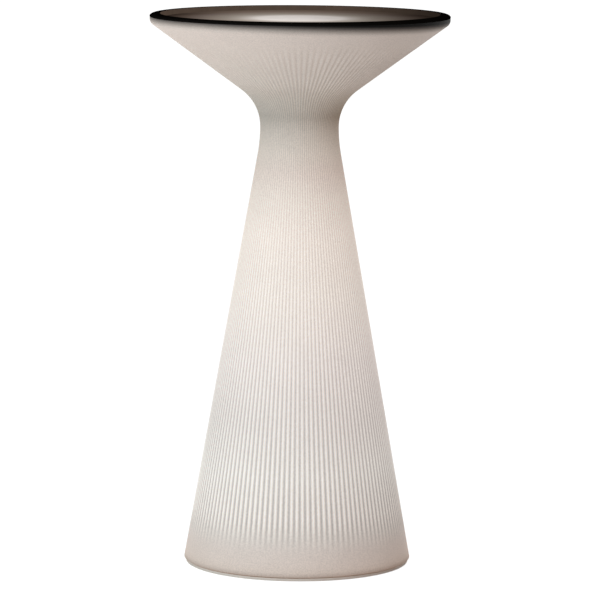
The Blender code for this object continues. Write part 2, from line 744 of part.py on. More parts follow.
def half_disc(bm, radius, flat, low, high, turned):
    """A closed half-round block whose flat side lies this far from the axis."""
    disc = bmesh.new()
    bmesh.ops.create_circle(disc, cap_ends=True, segments=2 * SMALL_FACETS, radius=radius)
    bmesh.ops.bisect_plane(
        disc,
        geom=disc.verts[:] + disc.edges[:] + disc.faces[:],
        plane_co=(flat, 0.0, 0.0),
        plane_no=(1.0, 0.0, 0.0),
        clear_inner=True,
    )
    rim = [edge for edge in disc.edges if edge.is_boundary]
    bmesh.ops.translate(disc, vec=(0.0, 0.0, low), verts=disc.verts)
    walls = bmesh.ops.extrude_edge_only(disc, edges=rim)["geom"]
    lifted = [part for part in walls if isinstance(part, bmesh.types.BMVert)]
    bmesh.ops.translate(disc, vec=(0.0, 0.0, high - low), verts=lifted)
    bmesh.ops.edgeloop_fill(disc, edges=[edge for edge in disc.edges if edge.is_boundary])
    bmesh.ops.rotate(disc, cent=(0.0, 0.0, 0.0), matrix=Matrix.Rotation(turned, 3, "Z"), verts=disc.verts)
    loose = mesh_from(disc, "half_disc")
    bm.from_mesh(loose)
    bpy.data.meshes.remove(loose)


def well_set(name, radius, flat, low, high):
    """The pair of half-round grip wells, or what surrounds them, on both sides of the grip bar."""
    bm = bmesh.new()
    for turned in (0.0, math.pi):
        half_disc(bm, radius, flat, low, high, turned)
    return guide(bm, name)


def housing_additions():
    """What is moulded on to the housing: bayonet lugs, pillars' bosses, board posts and the cap's ears."""
    lugs = bmesh.new()
    for _, _, angle in around(LUG_COUNT, unit_radius, LUG_START_ANGLE):
        inside = unit_radius - UNIT_WALL / 2.0
        outside = unit_radius + LUG_REACH
        sector(lugs, inside, outside, lug_bottom, lug_bottom + LUG_HEIGHT, angle, LUG_ANGLE, 3)
    bosses = bmesh.new()
    boss_low = unit_floor_top - UNIT_WALL / 2.0
    for x, y, _ in unit_screw_places():
        cylinder(bosses, PILLAR_RADIUS, boss_low, tray_bottom - SEAT_GAP, BOSS_FACETS, (x, y))
    posts = bmesh.new()
    post_low = well_roof_top - WELL_WALL / 2.0
    for x_side in (-1.0, 1.0):
        for y_side in (-1.0, 1.0):
            x = x_side * POST_PLACE_SHARES[0] * WELL_RADIUS
            y = y_side * POST_PLACE_SHARES[1] * WELL_RADIUS
            cylinder(posts, POST_RADIUS, post_low, board_bottom - SEAT_GAP, SCREW_FACETS, (x, y))
    ears = bmesh.new()
    reach = CAP_TAB_WIDTH / 2.0 + SEAT_GAP
    for side in (-1.0, 1.0):
        near = side * reach
        far = side * (reach + CAP_EAR_WIDTH)
        block(
            ears,
            (cap_hinge_x - CAP_BARREL_RADIUS, min(near, far), cap_hinge_z - CAP_BARREL_RADIUS),
            (cap_hinge_x + CAP_BARREL_RADIUS, max(near, far), well_roof_bottom + WELL_WALL / 2.0),
        )
    return [guide(lugs, "lugs"), guide(bosses, "unit_bosses"), guide(posts, "posts"), guide(ears, "cap_ears")]


def housing_cuts():
    """The openings of the housing: controls in the wells' roofs, screw pilots, and the cap pin's holes."""
    roof = bmesh.new()
    low = well_roof_bottom - CUT_OVERRUN
    high = well_roof_top + CUT_OVERRUN
    cylinder(roof, BUTTON_RADIUS + SEAT_GAP, low, high, SMALL_FACETS, (-CONTROL_OFFSET, 0.0))
    cylinder(roof, SOCKET_RADIUS + SEAT_GAP, low, high, SMALL_FACETS, (CONTROL_OFFSET, 0.0))
    cylinder(roof, INDICATOR_RADIUS + SEAT_GAP, low, high, SCREW_FACETS, (-CONTROL_OFFSET, INDICATOR_OFFSET))
    pilots = bmesh.new()
    for x, y, _ in unit_screw_places():
        cylinder(
            pilots,
            UNIT_SCREW_RADIUS + SEAT_GAP,
            tray_bottom - UNIT_SCREW_BITE - PILOT_SPARE_DEPTH,
            tray_bottom + CUT_OVERRUN,
            SCREW_FACETS,
            (x, y),
        )
    return [guide(roof, "roof_holes"), guide(pilots, "unit_pilots"), hinge_bore("ear_bore")]


def hinge_bore(name):
    """The cap pin's running hole, along Y."""
    bm = bmesh.new()
    half = CAP_TAB_WIDTH / 2.0 + CAP_EAR_WIDTH + CUT_OVERRUN
    cylinder(bm, CAP_PIN_RADIUS + SEAT_GAP, -half, half, SCREW_FACETS)
    lay_across(bm, (cap_hinge_x, 0.0, cap_hinge_z))
    return guide(bm, name)


def lay_across(bm, centre):
    """Turns an upright shape to lie along Y, round this centre."""
    bmesh.ops.transform(
        bm, matrix=Matrix.Translation(centre) @ Matrix.Rotation(math.pi / 2.0, 4, "X"), verts=bm.verts
    )


def unit_screw_places():
    """The four pillars of the light unit."""
    return around(UNIT_SCREW_COUNT, unit_screw_circle, math.pi / UNIT_SCREW_COUNT)


def build_unit_housing(finish):
    """The light unit's cup: a flange to turn it by, two grip wells and bayonet lugs."""
    outline = [
        (0.0, unit_bottom),
        (unit_flange_radius, unit_bottom),
        (unit_flange_radius, unit_floor_top),
        (unit_radius, unit_floor_top),
        (unit_radius, housing_top),
        (housing_inner_radius, housing_top),
        (housing_inner_radius, unit_floor_top),
        (0.0, unit_floor_top),
    ]
    mesh = mesh_from(turn(bmesh.new(), outline, UNIT_FACETS), "unit_housing")
    housing = place(mesh, "unit_housing", finish)
    flat = GRIP_WIDTH / 2.0
    floor_middle = unit_floor_top - UNIT_WALL / 2.0
    surround = well_set("well_walls", WELL_RADIUS + WELL_WALL, flat - WELL_WALL, floor_middle, well_roof_top)
    combine(housing, surround, "UNION")
    wells = well_set("wells", WELL_RADIUS, flat, unit_bottom - CUT_OVERRUN, well_roof_bottom)
    combine(housing, wells, "DIFFERENCE")
    for addition in housing_additions():
        combine(housing, addition, "UNION")
    for cut in housing_cuts():
        combine(housing, cut, "DIFFERENCE")


def build_driver_board(finish):
    """The board over the wells' roofs, which carries the switch, the socket and the indicator."""
    bm = bmesh.new()
    half_width = BOARD_WIDTH / 2.0
    block(bm, (-board_half_length, -half_width, board_bottom), (board_half_length, half_width, board_top))
    place(mesh_from(bm, "driver_board"), "driver_board", finish)


def build_button(finish, switch_finish, spring_finish):
    """The power button, the switch above it and the spring between them."""
    stem_bottom = well_roof_bottom - BUTTON_PROUD - well_roof_top
    flange_bottom = SEAT_GAP
    outline = [
        (0.0, stem_bottom),
        (BUTTON_RADIUS, stem_bottom),
        (BUTTON_RADIUS, flange_bottom),
        (BUTTON_RADIUS + BUTTON_FLANGE_REACH, flange_bottom),
        (BUTTON_RADIUS + BUTTON_FLANGE_REACH, flange_bottom + BUTTON_FLANGE_THICKNESS),
        (0.0, flange_bottom + BUTTON_FLANGE_THICKNESS),
    ]
    button = mesh_from(turn(bmesh.new(), outline, SMALL_FACETS), "power_button")
    place(button, "power_button", finish, (-CONTROL_OFFSET, 0.0, well_roof_top))
    bm = bmesh.new()
    half = SWITCH_WIDTH / 2.0
    block(bm, (-half, -half, 0.0), (half, half, SWITCH_HEIGHT))
    seat = (-CONTROL_OFFSET, 0.0, switch_bottom)
    place(mesh_from(bm, "button_switch"), "button_switch", switch_finish, seat)
    build_spring(spring_finish)


def build_spring(finish):
    """The return spring: one unbroken coil between the button and the switch."""
    low = button_top + SEAT_GAP + SPRING_WIRE
    high = switch_bottom - SEAT_GAP - SPRING_WIRE
    points_per_turn = 8
    count = SPRING_TURNS * points_per_turn + 1
    coil = bpy.data.curves.new("button_spring", "CURVE")
    coil.dimensions = "3D"
    coil.bevel_depth = SPRING_WIRE
    coil.bevel_resolution = 0
    coil.use_fill_caps = True
    wire = coil.splines.new("POLY")
    wire.points.add(count - 1)
    for number, point in enumerate(wire.points):
        angle = number * FULL_TURN / points_per_turn
        height = (high - low) * number / (count - 1)
        point.co = (SPRING_RADIUS * math.cos(angle), SPRING_RADIUS * math.sin(angle), height, 1.0)
    coil.materials.append(finish)
    spring = bpy.data.objects.new("button_spring", coil)
    spring.location = (-CONTROL_OFFSET, 0.0, low)
    bpy.context.scene.collection.objects.link(spring)
    print(f"button_spring: {(high - low) / SPRING_TURNS - 2.0 * SPRING_WIRE:.5f} m between its turns")


def build_indicator(finish):
    """The light pipe that shows the charge through the well's roof."""
    bm = bmesh.new()
    cylinder(bm, INDICATOR_RADIUS, 0.0, board_bottom - SEAT_GAP - well_roof_bottom, SCREW_FACETS)
    spot = (-CONTROL_OFFSET, INDICATOR_OFFSET, well_roof_bottom)
    place(mesh_from(bm, "charge_indicator"), "charge_indicator", finish, spot)


def build_socket(finish):
    """The round charging socket with its centre pin."""
    top = board_bottom - SEAT_GAP - well_roof_bottom
    outline = [
        (0.0, SOCKET_PIN_SETBACK),
        (SOCKET_PIN_RADIUS, SOCKET_PIN_SETBACK),
        (SOCKET_PIN_RADIUS, SOCKET_BORE_DEPTH),
        (SOCKET_BORE_RADIUS, SOCKET_BORE_DEPTH),
        (SOCKET_BORE_RADIUS, 0.0),
        (SOCKET_RADIUS, 0.0),
        (SOCKET_RADIUS, top),
        (0.0, top),
    ]
    socket = mesh_from(turn(bmesh.new(), outline, SMALL_FACETS), "charge_socket")
    place(socket, "charge_socket", finish, (CONTROL_OFFSET, 0.0, well_roof_bottom))


def build_cap(finish, pin_finish):
    """The cap over the charging socket, which swings down on a pin between the housing's ears."""
    hinge = bpy.data.objects.new("cap_hinge", None)
    hinge.location = (cap_hinge_x, 0.0, cap_hinge_z)
    bpy.context.scene.collection.objects.link(hinge)
    bm = bmesh.new()
    centre = CONTROL_OFFSET - cap_hinge_x
    top = cap_top - cap_hinge_z
    cylinder(bm, cap_radius, top - CAP_THICKNESS, top, SMALL_FACETS, (centre, 0.0))
    cap = place(mesh_from(bm, "charge_cap"), "charge_cap", finish)
    cap.parent = hinge
    tab = bmesh.new()
    half = CAP_TAB_WIDTH / 2.0
    block(tab, (centre, -half, top - CAP_THICKNESS), (0.0, half, top))
    tab = guide(tab, "cap_tab")
    tab.parent = hinge
    barrel = bmesh.new()
    cylinder(barrel, CAP_BARREL_RADIUS, -half, half, SMALL_FACETS)
    lay_across(barrel, (0.0, 0.0, 0.0))
    barrel = guide(barrel, "cap_barrel")
    barrel.parent = hinge
    combine(cap, tab, "UNION")
    combine(cap, barrel, "UNION")
    combine(cap, hinge_bore("cap_bore"), "DIFFERENCE")
    pin = bmesh.new()
    reach = half + SEAT_GAP + CAP_EAR_WIDTH
    cylinder(pin, CAP_PIN_RADIUS, -reach, reach, SCREW_FACETS)
    lay_across(pin, (0.0, 0.0, 0.0))
    place(mesh_from(pin, "cap_pin"), "cap_pin", pin_finish, (cap_hinge_x, 0.0, cap_hinge_z))


def build_tray(finish):
    """The battery tray: a cradle for the cells and four pillars that carry the spreader."""
    bm = bmesh.new()
    cylinder(bm, tray_radius, tray_bottom, tray_top, UNIT_FACETS)
    tray = place(mesh_from(bm, "battery_tray"), "battery_tray", finish)
    inside_low = tray_top - TRAY_THICKNESS / 2.0
    cradle_top = tray_top + CRADLE_HEIGHT
    frame = bmesh.new()
    block(
        frame,
        (-cradle_half_width, -cradle_half_length, inside_low),
        (cradle_half_width, cradle_half_length, cradle_top),
    )
    combine(tray, guide(frame, "cradle"), "UNION")
    space = bmesh.new()
    block(
        space,
        (CRADLE_WALL - cradle_half_width, CRADLE_WALL - cradle_half_length, tray_top),
        (cradle_half_width - CRADLE_WALL, cradle_half_length - CRADLE_WALL, cradle_top + CUT_OVERRUN),
    )
    combine(tray, guide(space, "cradle_space"), "DIFFERENCE")
    pillars = bmesh.new()
    for x, y, _ in unit_screw_places():
        cylinder(pillars, PILLAR_RADIUS, inside_low, pillar_top, BOSS_FACETS, (x, y))
    combine(tray, guide(pillars, "tray_pillars"), "UNION")
    holes = bmesh.new()
    low = tray_bottom - CUT_OVERRUN
    for x, y, _ in unit_screw_places():
        cylinder(holes, UNIT_SCREW_RADIUS + SEAT_GAP, low, pillar_top + CUT_OVERRUN, SCREW_FACETS, (x, y))
    cylinder(holes, LEAD_RADIUS + SEAT_GAP, low, tray_top + CUT_OVERRUN, SCREW_FACETS, (lead_x, 0.0))
    combine(tray, guide(holes, "tray_holes"), "DIFFERENCE")


def build_cells(finish):
    """The battery cells, side by side in the tray's cradle."""
    half = CELL_LENGTH / 2.0
    outline = [
        (0.0, -half),
        (CELL_RADIUS - CELL_CHAMFER, -half),
        (CELL_RADIUS, CELL_CHAMFER - half),
        (CELL_RADIUS, half - CELL_CHAMFER),
        (CELL_RADIUS - CELL_CHAMFER, half),
        (0.0, half),
    ]
    mesh = mesh_from(turn(bmesh.new(), outline, SMALL_FACETS), "battery_cell")
    height = tray_top + SEAT_GAP + CELL_RADIUS
    for number in range(CELL_COUNT):
        x = (number - (CELL_COUNT - 1) / 2.0) * cell_pitch
        place(mesh, f"battery_cell_{number + 1}", finish, (x, 0.0, height), (math.pi / 2.0, 0.0, 0.0))


def build_spreader(finish):
    """The aluminium plate on the pillars, which takes the light board's heat."""
    bm = bmesh.new()
    cylinder(bm, spreader_radius, spreader_bottom, spreader_top, UNIT_FACETS)
    plate = place(mesh_from(bm, "heat_spreader"), "heat_spreader", finish)
    holes = bmesh.new()
    low = spreader_bottom - CUT_OVERRUN
    high = spreader_top + CUT_OVERRUN
    for x, y, _ in unit_screw_places():
        cylinder(holes, UNIT_SCREW_RADIUS + SEAT_GAP, low, high, SCREW_FACETS, (x, y))
    cylinder(holes, LEAD_RADIUS + SEAT_GAP, low, high, SCREW_FACETS, (lead_x, 0.0))
    combine(plate, guide(holes, "spreader_holes"), "DIFFERENCE")


def build_unit_screws(finish):
    """Pan-head screws that clamp the spreader and the tray to the housing."""
    shank_end = tray_bottom - UNIT_SCREW_BITE - spreader_top - SEAT_GAP
    outline = [
        (0.0, UNIT_SCREW_HEAD_HEIGHT),
        (UNIT_SCREW_HEAD_RADIUS, UNIT_SCREW_HEAD_HEIGHT),
        (UNIT_SCREW_HEAD_RADIUS, 0.0),
        (UNIT_SCREW_RADIUS, 0.0),
        (UNIT_SCREW_RADIUS, shank_end),
        (0.0, shank_end),
    ]
    mesh = mesh_from(turn(bmesh.new(), outline, SCREW_FACETS), "unit_screw")
    for number, (x, y, _) in enumerate(unit_screw_places(), start=1):
        place(mesh, f"unit_screw_{number}", finish, (x, y, spreader_top + SEAT_GAP))


def build_light_board(board_finish, led_finish):
    """The round light board and its light-emitting chips."""
    bm = bmesh.new()
    cylinder(bm, led_board_radius, led_board_bottom, led_board_top, UNIT_FACETS)
    place(mesh_from(bm, "led_board"), "led_board", board_finish)
    bm = bmesh.new()
    half = LED_WIDTH / 2.0
    block(bm, (-half, -half, 0.0), (half, half, LED_HEIGHT))
    mesh = mesh_from(bm, "led")
    for number, (x, y, angle) in enumerate(around(LED_COUNT, LED_CIRCLE), start=1):
        place(mesh, f"led_{number}", led_finish, (x, y, led_board_top + SEAT_GAP), (0.0, 0.0, angle))


def build_lead(finish):
    """The sheathed lead from the driver board to the light board, through the tray and the spreader."""
    low = board_top + SEAT_GAP
    high = led_board_bottom - SEAT_GAP
    bm = bmesh.new()
    cylinder(bm, LEAD_RADIUS, low, high, SCREW_FACETS, (lead_x, 0.0))
    place(mesh_from(bm, "led_lead"), "led_lead", finish)


def build_dome(finish):
    """The opal dome: a brim on the housing's edge, a lip inside it and a shallow crown."""
    lip_outer = housing_inner_radius - SEAT_GAP
    lip_inner = lip_outer - DOME_WALL
    crown_radius = unit_radius - DOME_BRIM
    brim_top = dome_bottom + DOME_WALL
    outline = [(unit_radius, dome_bottom), (unit_radius, brim_top), (crown_radius, brim_top)]
    steps = 3
    rise = DOME_RISE - DOME_WALL
    for step in range(1, steps + 1):
        angle = math.pi / 2.0 * step / steps
        outline.append((crown_radius * math.cos(angle), brim_top + rise * math.sin(angle)))
    inner_rise = rise - DOME_WALL
    for step in range(steps, -1, -1):
        angle = math.pi / 2.0 * step / steps
        outline.append((lip_inner * math.cos(angle), brim_top + inner_rise * math.sin(angle)))
    lip_bottom = housing_top - DOME_LIP_DEPTH
    outline += [(lip_inner, lip_bottom), (lip_outer, lip_bottom), (lip_outer, dome_bottom)]
    outline = [(0.0, z) if abs(r) < SEAT_GAP else (r, z) for r, z in outline]
    top = next(number for number, point in enumerate(outline) if point[0] == 0.0)
    outline = outline[top + 1 :] + outline[: top + 1]
    place(mesh_from(turn(bmesh.new(), outline, UNIT_FACETS), "unit_dome"), "unit_dome", finish)


def build_table():
    """Builds every piece, from the body inwards."""
    clear_scene()
    opal = material("opal polyethylene", (0.86, 0.83, 0.80), 0.45, transmission=0.2)
    dark = material("black rim plastic", (0.012, 0.009, 0.008), 0.25)
    smoked = material("smoked acrylic", (0.10, 0.08, 0.07), 0.15, transmission=0.5)
    silicone = material("black silicone", (0.02, 0.02, 0.02), 0.7)
    plate = material("warm white base board", (0.62, 0.53, 0.46), 0.6)
    steel = material("zinc-plated steel", (0.62, 0.62, 0.60), 0.35, metallic=1.0)
    stainless = material("stainless steel", (0.55, 0.55, 0.56), 0.3, metallic=1.0)
    pad_rubber = material("grey pad rubber", (0.10, 0.10, 0.10), 0.85)
    casing = material("white unit casing", (0.80, 0.80, 0.78), 0.45)
    frosted = material("frosted dome", (0.90, 0.90, 0.88), 0.35, transmission=0.4)
    laminate = material("green circuit board", (0.02, 0.16, 0.07), 0.4)
    white_laminate = material("white light board", (0.85, 0.85, 0.84), 0.4)
    aluminium = material("aluminium sheet", (0.78, 0.78, 0.79), 0.35, metallic=1.0)
    wrap = material("battery cell wrap", (0.05, 0.18, 0.45), 0.35)
    tray_grey = material("grey tray plastic", (0.25, 0.25, 0.26), 0.55)
    button_rubber = material("button rubber", (0.35, 0.36, 0.37), 0.6)
    black_parts = material("black component plastic", (0.03, 0.03, 0.03), 0.45)
    clear_pipe = material("clear light pipe", (0.75, 0.85, 0.75), 0.1, transmission=0.8)
    phosphor = material("warm phosphor", (0.95, 0.80, 0.35), 0.4)
    sheath = material("red lead sheath", (0.55, 0.03, 0.02), 0.5)

    build_body_shell(opal)
    build_top_rim(dark)
    build_screws(
        "rim_screw", RIM_SCREW_COUNT, rim_screw_circle, rim_flange_top, RIM_SCREW_LENGTH, True, stainless
    )
    build_flat_ring(
        "disc_gasket",
        rim_flange_inner_radius + DISC_GASKET_INSET,
        disc_radius - DISC_GASKET_INSET,
        disc_gasket_bottom,
        DISC_GASKET_THICKNESS,
        GASKET_FACETS,
        silicone,
    )
    build_top_disc(smoked)

    build_base_plate(plate)
    build_screws(
        "base_screw", BASE_SCREW_COUNT, base_screw_circle, base_bottom, BASE_SCREW_LENGTH, False, stainless
    )
    foot_gasket_outer = base_radius - FOOT_GASKET_INSET
    foot_gasket_inner = foot_gasket_outer - FOOT_GASKET_WIDTH
    build_flat_ring(
        "foot_gasket",
        foot_gasket_inner,
        foot_gasket_outer,
        foot_gasket_bottom,
        FOOT_GASKET_THICKNESS,
        GASKET_FACETS,
        silicone,
    )
    build_glides(pad_rubber, steel)

    build_unit_housing(casing)
    seal_inner = unit_radius + UNIT_SEAL_INSET
    build_flat_ring(
        "unit_seal",
        seal_inner,
        seal_inner + UNIT_SEAL_WIDTH,
        unit_seal_bottom,
        UNIT_SEAL_THICKNESS,
        UNIT_FACETS,
        silicone,
    )
    build_driver_board(laminate)
    build_button(button_rubber, black_parts, stainless)
    build_indicator(clear_pipe)
    build_socket(black_parts)
    build_cap(silicone, stainless)
    build_tray(tray_grey)
    build_cells(wrap)
    build_spreader(aluminium)
    build_unit_screws(steel)
    build_light_board(white_laminate, phosphor)
    build_lead(sheath)
    build_flat_ring(
        "dome_seal",
        housing_inner_radius,
        unit_radius,
        dome_seal_bottom,
        DOME_SEAL_THICKNESS,
        UNIT_FACETS,
        silicone,
    )
    build_dome(frosted)


build_table()
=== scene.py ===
"""Visual model of a light-up bar table: ribbed glowing body, black rim, smoked top, light unit in the foot.

Metres, +Z up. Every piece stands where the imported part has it, and rides on the part's bodies.
"""

import logging
import math
from collections.abc import Iterator, Sequence
from dataclasses import dataclass
from enum import Enum

import bmesh
import bpy
from mathutils import Matrix, Vector


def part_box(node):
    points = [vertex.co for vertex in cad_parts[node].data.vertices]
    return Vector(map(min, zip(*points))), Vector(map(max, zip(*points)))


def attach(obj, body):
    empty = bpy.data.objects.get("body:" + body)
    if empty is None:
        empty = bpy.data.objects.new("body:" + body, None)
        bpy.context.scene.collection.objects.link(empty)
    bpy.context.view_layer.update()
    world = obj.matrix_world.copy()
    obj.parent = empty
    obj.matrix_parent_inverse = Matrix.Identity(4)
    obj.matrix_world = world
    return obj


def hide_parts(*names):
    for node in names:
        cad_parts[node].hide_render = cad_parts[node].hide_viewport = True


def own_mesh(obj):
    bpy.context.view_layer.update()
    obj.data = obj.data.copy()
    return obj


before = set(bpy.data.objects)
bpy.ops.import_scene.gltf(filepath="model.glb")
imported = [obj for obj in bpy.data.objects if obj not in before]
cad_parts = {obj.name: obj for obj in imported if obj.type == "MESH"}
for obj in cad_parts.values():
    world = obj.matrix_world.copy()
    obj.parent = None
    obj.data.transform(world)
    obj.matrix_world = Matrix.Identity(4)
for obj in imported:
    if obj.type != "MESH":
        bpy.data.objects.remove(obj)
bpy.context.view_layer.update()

log = logging.getLogger("bar_table")

Pair = tuple[float, float]
Triple = tuple[float, float, float]
Socket = bpy.types.NodeSocket
FULL_TURN = 2.0 * math.pi
QUARTER_TURN = math.pi / 2.0
GAP = 0.0003
MERGE_DISTANCE = 1e-6
CUT_OVERRUN = 0.01
COIL_FACETS = 24
SCREWS = 6
NOISE_BAND: Pair = (0.3, 0.7)
BLACK: Triple = (0.0, 0.0, 0.0)
WHITE: Triple = (1.0, 1.0, 1.0)
RIB_SHADE = "rib_shade"


class Body(Enum):
    """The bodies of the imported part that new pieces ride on."""

    TABLE = "table"
    LIGHT_UNIT = "light_unit"
    BUTTON = "power_button"
    GLIDE = "glide"

    def named(self, number: int | None = None) -> str:
        """The body's name in the part, numbered where there are several."""
        return self.value if number is None else f"{self.value}_{number}"


def in_scene(name: str, data: bpy.types.ID) -> bpy.types.Object:
    """Puts a new object in the scene.

    Args:
        name: Its name.
        data: Its mesh, lamp or camera.

    Returns:
        The object.
    """
    obj = bpy.data.objects.new(name, data)
    bpy.context.scene.collection.objects.link(obj)
    return obj


# Outlines and meshes


def arc(centre: Pair, radius: float, start: float, end: float, steps: int) -> list[Pair]:
    """Points along a round stretch of an outline.

    Args:
        centre: Radius and height of the curve's centre.
        radius: The curve's own radius. A negative one makes a hollow stretch.
        start: Direction of the first point from the centre, in radians.
        end: Direction of the last point.
        steps: Number of straight stretches that stand for the curve.

    Returns:
        The points as (radius, height), both ends included.
    """
    turns = [start + (end - start) * step / steps for step in range(steps + 1)]
    return [(centre[0] + radius * math.cos(t), centre[1] + radius * math.sin(t)) for t in turns]


def around(count: int, radius: float, start: float = 0.0) -> Iterator[Triple]:
    """Evenly spaced places on a circle.

    Args:
        count: How many places.
        radius: The circle's radius.
        start: Angle of the first place.

    Yields:
        x, y and the angle of each place.
    """
    for number in range(count):
        angle = start + number * FULL_TURN / count
        yield radius * math.cos(angle), radius * math.sin(angle), angle


def factors(number: int) -> list[int]:
    """Splits a number into its prime factors.

    Args:
        number: The number.

    Returns:
        The factors, smallest first.
    """
    found: list[int] = []
    factor = 2
    while number > 1:
        while number % factor == 0:
            found.append(factor)
            number //= factor
        factor += 1
    return found


class Workpiece:
    """A mesh in the making, shaped with the bench's own operators. Each step gives the workpiece back."""

    def __init__(self) -> None:
        """Starts with nothing on the bench."""
        self.bm = bmesh.new()

    def everything(self) -> list[bmesh.types.BMVert | bmesh.types.BMEdge | bmesh.types.BMFace]:
        """All the points, edges and faces on the bench."""
        return [*self.bm.verts, *self.bm.edges, *self.bm.faces]

    def merged(self) -> "Workpiece":
        """Merges doubled points."""
        bmesh.ops.remove_doubles(self.bm, verts=self.bm.verts, dist=MERGE_DISTANCE)
        return self

    def swept(self, geom: Sequence, angle: float, steps: int, rise: float = 0.0, merge: bool = False) -> "Workpiece":
        """Sweeps points, edges or a face round the upright axis.

        Args:
            geom: What is swept.
            angle: How far it turns.
            steps: Facets on the way.
            rise: How far it climbs on the way.
            merge: Whether a full turn closes on its start.

        Returns:
            The workpiece itself.
        """
        climb = (0.0, 0.0, rise / steps)
        bmesh.ops.spin(self.bm, geom=geom, axis=(0.0, 0.0, 1.0), dvec=climb, angle=angle, steps=steps, use_merge=merge)
        return self

    def turned(self, outline: Sequence[Pair], steps: int, closed: bool = False) -> "Workpiece":
        """Spins an outline through a full turn.

        Args:
            outline: Points as (radius, height). An open outline starts and ends on the axis.
            steps: Facets in the full turn.
            closed: Whether the last point joins the first.

        Returns:
            The workpiece itself.
        """
        verts = [self.bm.verts.new((radius, 0.0, height)) for radius, height in outline]
        after = verts[1:] + verts[:1] if closed else verts[1:]
        edges = [self.bm.edges.new(pair) for pair in zip(verts, after)]
        return self.swept(verts + edges, FULL_TURN, steps, merge=True).merged()

    def profile(self, corners: Sequence[Pair], angle: float = 0.0) -> bmesh.types.BMFace:
        """An upright face at an angle, with its corners as (radius, height)."""
        places = [(radius * math.cos(angle), radius * math.sin(angle), height) for radius, height in corners]
        return self.bm.faces.new([self.bm.verts.new(place) for place in places])

    def sector(self, radii: Pair, heights: Pair, middle: float, sweep: float) -> "Workpiece":
        """Adds a closed piece of a ring.

        Args:
            radii: Its inner and outer radius.
            heights: Its underside and top.
            middle: The angle of its middle.
            sweep: The angle that it covers.

        Returns:
            The workpiece itself.
        """
        (inner, outer), (low, high) = radii, heights
        face = self.profile([(inner, low), (outer, low), (outer, high), (inner, high)], middle - sweep / 2.0)
        return self.swept([face], sweep, max(2, round(math.degrees(sweep) / 2.0)))

    def coil(self, wire: float, radius: float, low: float, high: float, turns: int) -> "Workpiece":
        """Adds an upright spring.

        Args:
            wire: Radius of its wire.
            radius: Radius of the wire's middle line.
            low: Height at which the middle line starts.
            high: Height at which it ends.
            turns: Full turns between the two.

        Returns:
            The workpiece itself.
        """
        place = Matrix.Translation((radius, 0.0, low)) @ Matrix.Rotation(QUARTER_TURN, 4, "X")
        end = bmesh.ops.create_circle(self.bm, cap_ends=True, segments=12, radius=wire, matrix=place)["verts"]
        return self.swept([end[0].link_faces[0]], turns * FULL_TURN, turns * COIL_FACETS, high - low)

    def rod(self, radius: float, low: float, high: float, steps: int, centre: Pair = (0.0, 0.0)) -> "Workpiece":
        """Adds a closed upright rod.

        Args:
            radius: Its radius.
            low: Height of its lower end.
            high: Height of its upper end.
            steps: Facets round it.
            centre: Its middle, as x and y.

        Returns:
            The workpiece itself.
        """
        place = Matrix.Translation((*centre, (low + high) / 2.0))
        bmesh.ops.create_cone(
            self.bm, cap_ends=True, segments=steps, radius1=radius, radius2=radius, depth=high - low, matrix=place
        )
        return self

    def block(self, low: Sequence[float], high: Sequence[float]) -> "Workpiece":
        """Adds a closed box.

        Args:
            low: Its lowest corner.
            high: Its highest corner.

        Returns:
            The workpiece itself.
        """
        size, middle = Vector(high) - Vector(low), (Vector(high) + Vector(low)) / 2.0
        bmesh.ops.create_cube(self.bm, size=1.0, matrix=Matrix.Translation(middle) @ Matrix.Diagonal((*size, 1.0)))
        return self

    def moved(self, matrix: Matrix) -> "Workpiece":
        """Moves everything on the bench."""
        bmesh.ops.transform(self.bm, matrix=matrix, verts=self.bm.verts)
        return self

    def _copy(self, shape: Sequence, place: Matrix) -> None:
        """Adds a copy of a shape.

        Args:
            shape: The points, edges and faces to copy.
            place: Where the copy goes.
        """
        made = bmesh.ops.duplicate(self.bm, geom=shape)["geom"]
        fresh = [part for part in made if isinstance(part, bmesh.types.BMVert)]
        bmesh.ops.transform(self.bm, matrix=place, verts=fresh)

    def copied(self, places: Sequence[Sequence[float]]) -> "Workpiece":
        """Replaces the shape by copies of it.

        Args:
            places: The x and y of each copy. What follows them is left aside.

        Returns:
            The workpiece itself.
        """
        shape, old = self.everything(), self.bm.verts[:]
        for x, y, *_ in places:
            self._copy(shape, Matrix.Translation((x, y, 0.0)))
        bmesh.ops.delete(self.bm, geom=old, context="VERTS")
        return self

    def repeated(self, copies: int, step: float) -> "Workpiece":
        """Repeats the shape round the upright axis.

        Args:
            copies: How many there are in the end, the first included.
            step: Angle from one to the next.

        Returns:
            The workpiece itself.
        """
        shape = self.everything()
        for number in range(1, copies):
            self._copy(shape, Matrix.Rotation(number * step, 4, "Z"))
        return self

    def mesh(self, name: str, sharp: float = 35.0) -> bpy.types.Mesh:
        """Takes the mesh off the bench.

        Args:
            name: Name of the mesh.
            sharp: Edges that turn more than this many degrees stay crisp.

        Returns:
            The mesh, with its faces outwards and its round parts smooth.
        """
        bmesh.ops.recalc_face_normals(self.bm, faces=self.bm.faces)
        made = bpy.data.meshes.new(name)
        self.bm.to_mesh(made)
        self.bm.free()
        made.shade_smooth()
        made.set_sharp_from_angle(angle=math.radians(sharp))
        return made


class Cut(Enum):
    """What a tool does to a carved piece."""

    AWAY = "DIFFERENCE"
    ON = "UNION"


